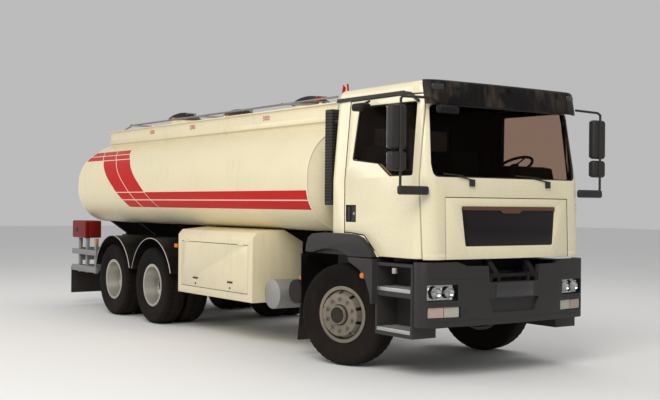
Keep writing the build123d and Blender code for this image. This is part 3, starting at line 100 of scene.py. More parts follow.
# ------------------------------------------------------------------ node trees
class Tree:
    """Short calls for building a node tree."""

    def __init__(self, tree):
        self.tree = tree

    def node(self, kind, **settings):
        made = self.tree.nodes.new(kind)
        for key, value in settings.items():
            setattr(made, key, value)
        return made

    def put(self, socket, value):
        if isinstance(value, bpy.types.NodeSocket):
            self.tree.links.new(value, socket)
        elif value is not None:
            socket.default_value = value

    def math(self, operation, a, b=None):
        made = self.node("ShaderNodeMath", operation=operation)
        for socket, value in zip(made.inputs, (a, b)):
            self.put(socket, value)
        return made.outputs[0]

    def between(self, value, low, high):
        return self.both(self.math("GREATER_THAN", value, low), self.math("LESS_THAN", value, high))

    def near(self, value, place, reach):
        return self.math("LESS_THAN", self.math("ABSOLUTE", self.math("SUBTRACT", value, place)), reach)

    def either(self, *masks):
        total = masks[0]
        for mask in masks[1:]:
            total = self.math("MAXIMUM", total, mask)
        return total

    def both(self, *masks):
        total = masks[0]
        for mask in masks[1:]:
            total = self.math("MULTIPLY", total, mask)
        return total

    def mix(self, factor, a, b):
        made = self.node("ShaderNodeMix", data_type="RGBA")
        self.put(made.inputs["Factor"], factor)
        self.put(made.inputs["A"], a)
        self.put(made.inputs["B"], b)
        return made.outputs["Result"]

    def ramp(self, value, low, high, to_low=0.0, to_high=1.0):
        made = self.node("ShaderNodeMapRange")
        for socket, number in zip(made.inputs, (value, low, high, to_low, to_high)):
            self.put(socket, number)
        return made.outputs[0]

    def noise(self, vector, scale, detail=3.0, rough=0.55):
        made = self.node("ShaderNodeTexNoise")
        self.put(made.inputs["Vector"], vector)
        made.inputs["Scale"].default_value = scale
        made.inputs["Detail"].default_value = detail
        made.inputs["Roughness"].default_value = rough
        return made.outputs["Fac"]

    def stretch(self, vector, scale):
        made = self.node("ShaderNodeMapping")
        self.put(made.inputs["Vector"], vector)
        made.inputs["Scale"].default_value = scale
        return made.outputs["Vector"]


def rgba(colour):
    return (*colour, 1.0)


def new_group(name, inputs, outputs):
    """An empty node group with its sockets, and the tree helper for it."""
    group = bpy.data.node_groups.new(name, "ShaderNodeTree")
    for label, kind, value in inputs:
        socket = group.interface.new_socket(name=label, in_out="INPUT", socket_type=kind)
        if value is not None:
            socket.default_value = value
    for label, kind in outputs:
        group.interface.new_socket(name=label, in_out="OUTPUT", socket_type=kind)
    tree = Tree(group)
    return group, tree, tree.node("NodeGroupInput"), tree.node("NodeGroupOutput")


def weather_group():
    """Patchy dirt, run-down streaks and road dust that thickens towards the ground."""
    group, t, entry, leave = new_group(
        "Weathering",
        [
            ("Colour", "NodeSocketColor", (0.8, 0.8, 0.8, 1)),
            ("Dirt", "NodeSocketColor", (0.2, 0.17, 0.13, 1)),
            ("Amount", "NodeSocketFloat", 0.3),
            ("Dust height", "NodeSocketFloat", 1.0),
            ("Roughness", "NodeSocketFloat", 0.4),
        ],
        [("Colour", "NodeSocketColor"), ("Roughness", "NodeSocketFloat"), ("Height", "NodeSocketFloat")],
    )
    place = t.node("ShaderNodeTexCoord").outputs["Object"]
    split = t.node("ShaderNodeSeparateXYZ")
    t.put(split.inputs[0], place)
    patches = t.noise(place, 2.3, 5.0, 0.6)
    streaks = t.noise(t.stretch(place, (9.0, 9.0, 0.8)), 1.6, 4.0, 0.6)
    fine = t.noise(place, 46.0, 3.0, 0.6)
    low = t.math("SUBTRACT", 1.0, t.math("DIVIDE", split.outputs["Z"], entry.outputs["Dust height"]))
    low = t.math("MAXIMUM", low, 0.0)
    spread = t.math("MULTIPLY", t.ramp(patches, 0.42, 0.78), t.ramp(streaks, 0.35, 0.75))
    road_dust = t.math("MULTIPLY", low, t.ramp(fine, 0.2, 0.8, 0.4, 1.0))
    dirt = t.math("ADD", t.math("MULTIPLY", spread, 0.8), road_dust)
    dirt = t.math("MINIMUM", t.math("MULTIPLY", dirt, entry.outputs["Amount"]), 0.9)
    t.put(leave.inputs["Colour"], t.mix(dirt, entry.outputs["Colour"], entry.outputs["Dirt"]))
    rough = t.math("ADD", entry.outputs["Roughness"], t.math("MULTIPLY", dirt, 0.35))
    rough = t.math("ADD", rough, t.math("MULTIPLY", t.math("SUBTRACT", fine, 0.5), 0.08))
    t.put(leave.inputs["Roughness"], t.math("MINIMUM", rough, 0.95))
    t.put(leave.inputs["Height"], t.math("ADD", t.math("MULTIPLY", fine, 0.6), patches))
    return group


def stripe_group():
    """The red stripes of the tank: a band along the foot, a slanted band and a short upper band."""
    group, t, entry, leave = new_group(
        "TankStripes",
        [("Paint", "NodeSocketColor", (0.8, 0.75, 0.6, 1)), ("Red", "NodeSocketColor", (0.6, 0.03, 0.02, 1))],
        [("Colour", "NodeSocketColor")],
    )
    split = t.node("ShaderNodeSeparateXYZ")
    t.put(split.inputs[0], t.node("ShaderNodeTexCoord").outputs["Object"])
    x, z = split.outputs["X"], split.outputs["Z"]

    def slanted(at_bend, slope):
        below = t.math("MULTIPLY", t.math("SUBTRACT", 2.345, z), slope)
        above = t.math("MULTIPLY", t.math("MAXIMUM", t.math("SUBTRACT", z, 2.345), 0.0), -0.85)
        return t.math("ADD", t.math("ADD", below, above), at_bend)

    rear_edge = slanted(-3.507, 1.57)
    middle = slanted(-3.005, 1.49)
    front_edge = slanted(-2.492, 1.53)
    upper_zone = t.between(z, 2.357, 2.513)
    slant_zone = t.between(z, 1.851, 2.357)
    lower_zone = t.between(z, 1.634, 1.851)
    behind_front = t.math("LESS_THAN", x, front_edge)
    past_rear = t.math("GREATER_THAN", x, rear_edge)
    red = t.either(
        t.both(upper_zone, behind_front),
        t.both(slant_zone, behind_front, past_rear),
        t.both(lower_zone, past_rear),
    )
    lines = t.either(
        t.near(z, 2.440, 0.006),
        t.near(z, 2.358, 0.006),
        t.near(z, 1.740, 0.0065),
        t.both(t.near(z, 1.852, 0.006), behind_front),
        t.near(x, middle, 0.011),
        t.both(upper_zone, t.near(x, rear_edge, 0.012)),
        t.both(lower_zone, t.near(x, front_edge, 0.008)),
    )
    barrel = t.between(x, -4.250, 2.498)
    mask = t.both(red, barrel, t.math("SUBTRACT", 1.0, lines))
    t.put(leave.inputs["Colour"], t.mix(mask, entry.outputs["Paint"], entry.outputs["Red"]))
    return group


def finish(
    name,
    colour,
    rough,
    metal=0.0,
    dirt=0.25,
    dust=1.0,
    bump=0.0,
    coat=0.0,
    shine=0.5,
    grime=ROAD_DIRT,
    stripes=False,
):
    """A weathered opaque finish."""
    made = bpy.data.materials.new(f"{name}_look")
    made.use_nodes = True
    t = Tree(made.node_tree)
    shader = made.node_tree.nodes["Principled BSDF"]
    group = t.node("ShaderNodeGroup", node_tree=bpy.data.node_groups["Weathering"])
    group.inputs["Colour"].default_value = rgba(colour)
    group.inputs["Dirt"].default_value = rgba(grime)
    group.inputs["Amount"].default_value = dirt * bpy.context.scene.tanker.dust
    group.inputs["Dust height"].default_value = dust
    group.inputs["Roughness"].default_value = rough
    if stripes:
        painted = t.node("ShaderNodeGroup", node_tree=bpy.data.node_groups["TankStripes"])
        painted.inputs["Paint"].default_value = rgba(colour)
        painted.inputs["Red"].default_value = rgba(STRIPE_RED)
        t.put(group.inputs["Colour"], painted.outputs[0])
    t.put(shader.inputs["Base Color"], group.outputs["Colour"])
    t.put(shader.inputs["Roughness"], group.outputs["Roughness"])
    shader.inputs["Metallic"].default_value = metal
    shader.inputs["Coat Weight"].default_value = coat
    shader.inputs["Coat Roughness"].default_value = 0.12
    shader.inputs["Specular IOR Level"].default_value = shine
    if bump:
        raised = t.node("ShaderNodeBump")
        raised.inputs["Strength"].default_value = bump
        raised.inputs["Distance"].default_value = 0.004
        t.put(raised.inputs["Height"], group.outputs["Height"])
        t.put(shader.inputs["Normal"], raised.outputs[0])
    return made


def glass(name, colour, clear, rough=0.03):
    """A thin pane: a tinted see-through part under a sharp reflection."""
    made = bpy.data.materials.new(f"{name}_look")
    made.use_nodes = True
    nodes = made.node_tree.nodes
    t = Tree(made.node_tree)
    shader = nodes["Principled BSDF"]
    shader.inputs["Base Color"].default_value = rgba(tuple(0.03 * c for c in colour))
    shader.inputs["Roughness"].default_value = rough
    through = t.node("ShaderNodeBsdfTransparent")
    through.inputs["Color"].default_value = rgba(tuple(0.45 + 0.55 * c for c in colour))
    facing = t.node("ShaderNodeLayerWeight").outputs["Facing"]
    blend = t.node("ShaderNodeMixShader")
    t.put(blend.inputs[0], t.math("MAXIMUM", t.math("POWER", facing, 4.0), 1.0 - clear))
    t.put(blend.inputs[1], through.outputs[0])
    t.put(blend.inputs[2], shader.outputs[0])
    t.put(nodes["Material Output"].inputs["Surface"], blend.outputs[0])
    return made


def make_materials():
    weather_group()
    stripe_group()
    finish("cream_paint", CREAM, 0.36, dirt=0.30, dust=1.3, bump=0.04, coat=0.25)
    finish("tank_paint", (0.80, 0.72, 0.50), 0.32, dirt=0.20, dust=1.5, bump=0.04, shine=0.14, stripes=True)
    finish("cab_paint", (0.81, 0.735, 0.51), 0.28, dirt=0.16, dust=1.2, bump=0.03, coat=0.45)
    finish("rim_seam", (0.86, 0.80, 0.62), 0.3, dirt=0.2)
    finish("dark_plastic", (0.026, 0.024, 0.024), 0.5, shine=0.3, dust=1.2, bump=0.12, grime=PLASTIC_DIRT)
    for name, dirt, grime in (("visor_plastic", 0.8, VISOR_DIRT), ("worn_visor", 3.0, FADED_PLASTIC)):
        finish(name, (0.005, 0.004, 0.004), 0.4, shine=0.15, dirt=dirt, dust=0.8, bump=0.3, grime=grime)
    finish("grille_plastic", (0.005, 0.003, 0.003), 0.1, shine=0.3, dirt=0.04, dust=0.5)
    finish("seal_rubber", (0.012, 0.012, 0.012), 0.55, dirt=0.1, dust=0.5)
    finish("bronze_bar", (0.20, 0.10, 0.065), 0.2, metal=0.85, dirt=0.1, dust=0.5)
    finish("chassis_paint", (0.009, 0.008, 0.008), 0.6, shine=0.2, dirt=0.3, bump=0.2)
    finish("cast_parts", (0.03, 0.027, 0.024), 0.7, metal=0.3, dirt=0.45, bump=0.5)
    finish("tyre_rubber", (0.007, 0.0055, 0.005), 0.75, shine=0.08, bump=0.35, grime=TYRE_DIRT)
    finish("rim_paint", (0.27, 0.24, 0.19), 0.42, metal=0.5, dirt=0.6, dust=0.9, bump=0.1, grime=BRAKE_DUST)
    silver = (0.55, 0.53, 0.47)
    finish("rim_silver", silver, 0.36, metal=0.75, dirt=0.45, dust=0.7, bump=0.1, grime=SILVER_DIRT)
    finish("pale_lens", (0.85, 0.80, 0.64), 0.15, dirt=0.1, dust=0.5)
    finish("tread_plate", (0.52, 0.52, 0.51), 0.35, metal=0.9, dirt=0.3, dust=0.9, bump=0.15)
    finish("grey_bars", (0.24, 0.245, 0.25), 0.5, dirt=0.4, bump=0.1)
    # The extinguisher box's red is its own deep red darkened further to the tone of the box's shaded face, so
    # part of this colour is painted shade.
    finish("red_box", (0.17, 0.006, 0.005), 0.34, shine=0.25, dirt=0.15, bump=0.05)
    finish("red_marks", (0.45, 0.012, 0.010), 0.34, shine=0.25, dirt=0.1)
    finish("drum_steel", (0.36, 0.36, 0.35), 0.5, metal=0.6, dirt=0.5, dust=0.9, bump=0.2)
    finish("seat_cloth", (0.012, 0.012, 0.015), 0.9, shine=0.1, dirt=0.1, dust=0.5, bump=0.4)
    finish("dash_plastic", (0.008, 0.007, 0.007), 0.8, shine=0.1, dirt=0.02, dust=0.5, bump=0.2)
    finish("amber_lens", (0.75, 0.16, 0.01), 0.2, dirt=0.1, dust=0.5)
    finish("red_lens", (0.45, 0.01, 0.01), 0.2, dirt=0.1, dust=0.5)
    finish("blush_lens", (0.85, 0.64, 0.55), 0.15, dirt=0.1, dust=0.5)
    finish("reflector", (0.82, 0.82, 0.80), 0.12, metal=1.0, dirt=0.05, dust=0.5)
    finish("mirror_face", (0.75, 0.78, 0.80), 0.03, metal=1.0, dirt=0.03, dust=0.5)
    finish("pale_trim", (0.42, 0.41, 0.38), 0.45, metal=0.4, dirt=0.35)
    finish("plate_blank", (0.028, 0.028, 0.03), 0.2, dirt=0.1, dust=0.5)
    glass("cab_window", (0.69, 0.54, 0.44), 0.97)
    # The rear pane is nearly opaque and near black: painted shade standing in for the dim view through the
    # back of the cab, not a tint of the glass.
    glass("rear_window_painted_shade", (0.03, 0.025, 0.02), 0.15)
    glass("lamp_glass", (0.75, 0.77, 0.78), 0.85)


# ------------------------------------------------------------------ mesh helpers
def add_box(bm, low, high):
    low, high = Vector(low), Vector(high)
    size = high - low
    matrix = Matrix.Translation((low + high) / 2) @ Matrix.Diagonal((*size, 1))
    return bmesh.ops.create_cube(bm, size=1, matrix=matrix)["verts"]


def add_pad(bm, low, high):
    """A box with its edges drawn in like a cushion's."""
    add_box(bm, low, high)
    bmesh.ops.subdivide_edges(bm, edges=bm.edges, cuts=3, use_grid_fill=True)
    every_way = {f"use_axis_{axis}": True for axis in "xyz"}
    bmesh.ops.smooth_vert(bm, verts=bm.verts, factor=0.5, **every_way)


def side_box(bm, side, x, y, z):
    """A box on one side of the truck, its y pair measured outwards."""
    low, high = sorted((side * y[0], side * y[1]))
    return add_box(bm, (x[0], low, z[0]), (x[1], high, z[1]))


def turned_box(bm, centre, size, turn):
    """A box turned about the vertical."""
    place = Matrix.Translation(centre) @ Matrix.Rotation(math.radians(turn), 4, "Z")
    matrix = place @ Matrix.Diagonal((*size, 1))
    return bmesh.ops.create_cube(bm, size=1, matrix=matrix)["verts"]


def frame_along(start, end):
    """A matrix at the middle of a run, its Z along the run."""
    run = Vector(end) - Vector(start)
    turn = run.to_track_quat("Z", "Y").to_matrix().to_4x4()
    return Matrix.Translation((Vector(start) + Vector(end)) / 2) @ turn


def add_rod(bm, start, end, radius, segments=20, tip=None):
    length = (Vector(end) - Vector(start)).length
    return bmesh.ops.create_cone(
        bm,
        cap_ends=True,
        segments=segments,
        radius1=radius,
        radius2=radius if tip is None else tip,
        depth=length,
        matrix=frame_along(start, end),
    )["verts"]


def add_ball(bm, centre, radius, segments=14):
    place = Matrix.Translation(centre)
    rings = segments // 2 + 1
    bmesh.ops.create_uvsphere(bm, u_segments=segments, v_segments=rings, radius=radius, matrix=place)


def add_path(bm, points, radius, segments=14):
    """A bent tube: a rod for each run and a ball at each bend."""
    for start, end in zip(points, points[1:]):
        add_rod(bm, start, end, radius, segments)
    for bend in points[1:-1]:
        add_ball(bm, bend, radius, segments)


def lathe(bm, profile, matrix, steps=64):
    """Turns (radius, along) points about the matrix's Y axis."""
    ring = [bm.verts.new(matrix @ Vector((radius, along, 0))) for radius, along in profile]
    edges = [bm.edges.new(pair) for pair in zip(ring, ring[1:])]
    axis = (matrix.to_3x3() @ Vector((0, 1, 0))).normalized()
    bmesh.ops.spin(
        bm,
        geom=ring + edges,
        cent=matrix.translation,
        axis=axis,
        angle=2 * math.pi,
        steps=steps,
        use_merge=True,
    )
    bmesh.ops.remove_doubles(bm, verts=bm.verts, dist=1e-6)


def add_prism(bm, points, offset):
    """A flat outline pushed along the offset."""
    face = bm.faces.new([bm.verts.new(p) for p in points])
    pushed = bmesh.ops.extrude_face_region(bm, geom=[face])["geom"]
    bmesh.ops.translate(bm, verts=[v for v in pushed if isinstance(v, bmesh.types.BMVert)], vec=offset)
    bmesh.ops.recalc_face_normals(bm, faces=bm.faces)


def soften(bm, width, angle=25, segments=2):
    """Rounds every edge that is sharper than the angle."""
    edges = [e for e in bm.edges if len(e.link_faces) == 2 and e.calc_face_angle(0) > math.radians(angle)]
    bmesh.ops.bevel(
        bm,
        geom=edges,
        offset=width,
        offset_type="OFFSET",
        segments=segments,
        profile=0.5,
        affect="EDGES",
        clamp_overlap=True,
        material=-1,
    )


def publish(name, bm, finish_name, body, replaced=(), smooth=SMOOTH):
    """Turns a bmesh into a shown object on a body."""
    bmesh.ops.recalc_face_normals(bm, faces=bm.faces)
    mesh = bpy.data.meshes.new(name)
    bm.to_mesh(mesh)
    bm.free()
    for polygon in mesh.polygons:
        polygon.use_smooth = True
    mesh.set_sharp_from_angle(angle=smooth)
    mesh.materials.append(bpy.data.materials[f"{finish_name}_look"])
    made = bpy.data.objects.new(name, mesh)
    bpy.context.scene.collection.objects.link(made)
    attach(made, body)
    if replaced:
        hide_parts(*replaced)
    return made


def cad_mesh(node, keep=None):
    """A working copy of a CAD node's mesh, with its flat faces joined up."""
    bm = bmesh.new()
    bm.from_mesh(frame["nodes"][node].data)
    bmesh.ops.remove_doubles(bm, verts=bm.verts, dist=2e-5)
    bmesh.ops.recalc_face_normals(bm, faces=bm.faces)
    if keep:
        bmesh.ops.delete(bm, geom=[f for f in bm.faces if not keep(f)], context="FACES")
    bmesh.ops.dissolve_limit(bm, angle_limit=math.radians(0.6), verts=bm.verts, edges=bm.edges)
    return bm


def node_body(node):
    return frame["nodes"][node]["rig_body"]


def dress(node, finish_name, round_by=0.0, smooth=SMOOTH):
    """Shows a CAD node with smooth curves, softened edges and its finish."""
    bm = cad_mesh(node)
    if round_by:
        soften(bm, round_by)
    return publish(f"{node}_skin", bm, finish_name, node_body(node), [node], smooth)


def dress_split(node, first, second, is_second, round_by=0.0, smooth=SMOOTH):
    """Shows a CAD node in two finishes, the second on the faces that the test picks."""
    whole = cad_mesh(node)
    if round_by:
        soften(whole, round_by)
    rest = whole.copy()
    for bm, finish_name, wanted, label in ((whole, first, False, "skin"), (rest, second, True, "inner")):
        unwanted = [f for f in bm.faces if bool(is_second(f)) != wanted]
        bmesh.ops.delete(bm, geom=unwanted, context="FACES")
        if bm.faces:
            publish(f"{node}_{label}", bm, finish_name, node_body(node), [node], smooth)


def faces_cab_room(face):
    """Whether a face of the cab's shell looks into the cab."""
    centre = face.calc_center_median()
    inward = Vector((3.6, 0, 2.0)) - centre
    return face.normal.dot(inward.normalized()) > 0.25


# ------------------------------------------------------------------ wheels
def wheel_matrices():
    """Each wheel's place: local Y is the axle, pointing away from the truck."""
    places = {}
    for name, side in SIDES.items():
        turn = Matrix.Rotation(STEER, 4, "Z")
        origin = Vector((AXLE_X, side * 0.880, HUB_Z)) + turn @ Vector((0, side * 0.155, 0))
        flip = Matrix.Rotation(0 if side > 0 else math.pi, 4, "Z")
        places[f"wheel_front_{name}"] = Matrix.Translation(origin) @ turn @ flip
        for axle, x in REAR_AXLES.items():
            places[f"wheels_{axle}_{name}"] = Matrix.Translation((x, side * 1.084, HUB_Z)) @ flip
    return places


def tyre(bm, matrix, lugs):
    """A tyre with ribs and grooves; lugs cuts its shoulders into blocks."""
    depth = bpy.context.scene.tanker.tread_depth
    half = [(0.2862, 0.1175), (0.298, 0.1235), (0.312, 0.131), (0.318, 0.1305), (0.345, 0.143)]
    half += [(0.385, 0.153), (0.425, 0.1558), (0.462, 0.1535), (0.470, 0.1545), (0.492, 0.150)]
    half += [(0.512, 0.141), (0.528, 0.128), (0.5355, 0.112), (0.5378, 0.092)]
    grooves = (0.075, 0.025) if not lugs else (0.055,)
    for place in grooves:
        half += [(0.5378, place + 0.006), (0.5378 - depth, place + 0.004)]
        half += [(0.5378 - depth, place - 0.004), (0.5378, place - 0.006)]
    profile = half + [(radius, -along) for radius, along in reversed(half)]
    profile.append((0.2862, 0.1175))
    steps = 96
    start = len(bm.verts)
    lathe(bm, profile, matrix, steps)
    bm.verts.ensure_lookup_table()
    back = matrix.inverted()
    pitch = 2 * math.pi / 48
    for vert in bm.verts[start:]:
        local = back @ vert.co
        radius = math.hypot(local.x, local.z)
        if radius < 0.508 or abs(local.y) > 0.1559:
            continue
        if abs(local.y) < (0.060 if lugs else 0.084):
            continue
        turn = math.atan2(local.z, local.x) + math.pi + pitch / 4 + (pitch / 2 if local.y > 0 else 0)
        if (turn / pitch) % 1.0 < 0.5:
            drop = (0.015 if lugs else 0.005) * min(1, (radius - 0.505) / 0.02)
            vert.co = matrix @ Vector((local.x * (1 - drop / radius), local.y, local.z * (1 - drop / radius)))


def wheel_nuts(bm, matrix, face, count=10, circle=0.1675):
    for index in range(count):
        angle = 2 * math.pi * (index + 0.5) / count
        spot = Vector((circle * math.cos(angle), 0, circle * math.sin(angle)))
        start = matrix @ (spot + Vector((0, face, 0)))
        middle = matrix @ (spot + Vector((0, face + 0.006, 0)))
        top = matrix @ (spot + Vector((0, face + 0.026, 0)))
        tip = matrix @ (spot + Vector((0, face + 0.034, 0)))
        add_rod(bm, start, middle, 0.025, 16)
        add_rod(bm, middle, top, 0.0165, 6)
        add_rod(bm, top, tip, 0.012, 10, 0.008)


class TANKER_OT_wheels(bpy.types.Operator):
    """Builds the tyres, rims, nuts and hub caps"""

    bl_idname = "tanker.wheels"
    bl_label = "Wheels"

    def execute(self, context):
        for body, matrix in wheel_matrices().items():
            front = "front" in body
            name = body.replace("wheels_", "").replace("wheel_", "")
            bm = bmesh.new()
            tyre(bm, matrix, not front)
            if not front:
                second = bmesh.new()
                tyre(second, matrix @ Matrix.Translation((0, -TWIN, 0)), True)
                extra = bpy.data.meshes.new("extra")
                second.to_mesh(extra)
                second.free()
                bm.from_mesh(extra)
                bpy.data.meshes.remove(extra)
            node = f"tyre_{name}" if front else f"tyres_{name}"
            publish(f"{node}_skin", bm, "tyre_rubber", body, [node], math.radians(38))
            rim = f"rim_{name}" if front else f"rims_{name}"
            dress(rim, "rim_paint" if front else "rim_silver", 0.0015, math.radians(28))
            bm = bmesh.new()
            wheel_nuts(bm, matrix, 0.175 if front else -0.163)
            publish(f"nuts_{name}", bm, "rim_paint", body, smooth=math.radians(25))
            bm = bmesh.new()
            if front:
                cap = [(0.0, 0.2185), (0.080, 0.2185), (0.0925, 0.215), (0.1095, 0.181), (0.112, 0.1755)]
            else:
                cap = [(0.0, -0.0185), (0.084, -0.0185), (0.0965, -0.022), (0.1265, -0.062)]
                cap.append((0.1265, -0.1625))
            lathe(bm, cap, matrix, 48)
            for index in range(8):
                angle = math.pi * index / 4
                reach = 0.066
                along = 0.2185 if front else -0.0185
                spot = Vector((reach * math.cos(angle), along, reach * math.sin(angle)))
                add_rod(bm, matrix @ spot, matrix @ (spot + Vector((0, 0.007, 0))), 0.008, 6)
            publish(f"hub_cap_{name}", bm, "chassis_paint", body)
        return {"FINISHED"}


# ------------------------------------------------------------------ tank
def tank_section(grow, count=96):
    """Points round the tank's section, moved out by grow, as (y, z)."""
    half, top, foot, waist = 1.190, 2.770, 1.365, 2.000
    shoulder, corner, sag = 0.560, 0.522, 0.030
    shoulder_y, corner_y = half - shoulder, half - corner
    crown = (shoulder_y**2 + (top - waist) ** 2 - shoulder**2) / (2 * (top - waist - shoulder))
    keel = (corner_y**2 + 2 * corner * sag + sag**2) / (2 * sag)
    corner_z = foot + corner + sag
    lean = math.atan2(waist - (top - crown), shoulder_y)
    drop = math.atan2(foot + keel - corner_z, corner_y)
    arcs = [
        (0, foot + keel, keel, -math.pi / 2, -drop),
        (corner_y, corner_z, corner, -drop, 0),
        (shoulder_y, waist, shoulder, 0, lean),
        (0, top - crown, crown, lean, math.pi / 2),
    ]
    side = []
    for y, z, radius, start, end in arcs:
        for step in range(count // 4):
            angle = start + (end - start) * step / (count // 4)
            side.append((y + (radius + grow) * math.cos(angle), z + (radius + grow) * math.sin(angle)))
    return side + [(0, top + grow)] + [(-y, z) for y, z in reversed(side[1:])]


def section_band(bm, low_x, high_x, grow):
    """A flat hoop round the tank."""
    loops = []
    for x, lift in ((low_x, -0.004), (low_x, grow), (high_x, grow), (high_x, -0.004)):
        ring = [bm.verts.new((x, y, z)) for y, z in tank_section(lift)]
        loops.append([bm.edges.new((ring[i - 1], ring[i])) for i in range(len(ring))])
    for first, second in zip(loops, loops[1:]):
        bmesh.ops.bridge_loops(bm, edges=first + second)


class TANKER_OT_tank(bpy.types.Operator):
    """Paints the tank and builds its seams, lids, handles and numbers"""

    bl_idname = "tanker.tank"
    bl_label = "Tank"

    def execute(self, context):
        dress("tank", "tank_paint", smooth=math.radians(40))
        dress_split("tank_top", "cream_paint", "red_marks", self.marker_wedge, 0.002)
        bm = bmesh.new()
        add_prism(bm, [(2.372, -0.640, 2.93), (2.372, -0.470, 2.93), (2.372, -0.615, 3.07)], (0.006, 0, 0))
        publish("marker_plate", bm, "red_marks", "chassis")
        bm = bmesh.new()
        section_band(bm, 2.490, 2.508, 0.004)
        section_band(bm, -4.258, -4.240, 0.004)
        publish("tank_hoops", bm, "rim_seam", "chassis")
        for name, x, top in (("rear", -2.810, 3.140), ("middle", -1.050, 3.070), ("front", 0.820, 3.110)):
            low = top - 0.130
            body = f"manhole_lid_{name}"
            dress(body, "chassis_paint", 0.003)
            bm = bmesh.new()
            place = Matrix.Translation((x, 0, 0)) @ Matrix.Rotation(math.pi / 2, 4, "X")
            rim = [(0.262, low + 0.002), (0.262, low + 0.028), (0.255, low + 0.036), (0.2, low + 0.0745)]
            rim += [(0.19, low + 0.0765), (0.262, low + 0.002)]
            lathe(bm, rim, place, 64)
            publish(f"lid_rim_{name}", bm, "bronze_bar", body)
            bm = bmesh.new()
            grip = [(x + 0.19, 0.07, low + 0.075), (x + 0.235, 0.07, low + 0.1)]
            grip += [(x + 0.235, -0.07, low + 0.1), (x + 0.19, -0.07, low + 0.075)]
            add_path(bm, grip, 0.008)
            publish(f"lid_grip_{name}", bm, "red_marks" if name == "front" else "grey_bars", body)
        for node in ("handrail", "handrail_post_1", "handrail_post_2", "handrail_post_3"):
            dress(node, "grey_bars")
        for index, (x, text) in enumerate(((-2.44, "1000"), (-1.11, "2000"), (0.89, "3000")), start=1):
            curve = bpy.data.curves.new(f"number_{index}", "FONT")
            curve.body = text
            curve.size = 0.085
            curve.extrude = 0.0006
            curve.align_x = "CENTER"
            holder = bpy.data.objects.new(f"number_source_{index}", curve)
            context.scene.collection.objects.link(holder)
            context.view_layer.update()
            mesh = bpy.data.meshes.new_from_object(holder.evaluated_get(context.evaluated_depsgraph_get()))
            bpy.data.objects.remove(holder)
            for name, side in SIDES.items():
                bm = bmesh.new()
                bm.from_mesh(mesh)
                face_out = Matrix.Rotation(0 if side < 0 else math.pi, 4, "Z")
                place = Matrix.Translation((x, side * 0.7412, 2.745)) @ face_out
                bm.transform(place @ Matrix.Rotation(math.pi / 2, 4, "X"))
                publish(f"number_{index}_{name}", bm, "red_marks", "chassis")
        return {"FINISHED"}

    def marker_wedge(self, face):
        centre = face.calc_center_median()
        return centre.x > 2.31 and centre.z > 2.90


# ------------------------------------------------------------------ cab
def pane_seal(node, name, body, radius, keep):
    """A rubber bead along the edge of a glass pane's outer face."""
    face = cad_mesh(node, keep)
    bm = bmesh.new()
    rim = [edge for edge in face.edges if len(edge.link_faces) == 1]
    for edge in rim:
        add_rod(bm, edge.verts[0].co, edge.verts[1].co, radius, 10)
    for vert in dict.fromkeys(vert for edge in rim for vert in edge.verts):
        add_ball(bm, vert.co, radius, 10)
    face.free()
    publish(name, bm, "seal_rubber", body)


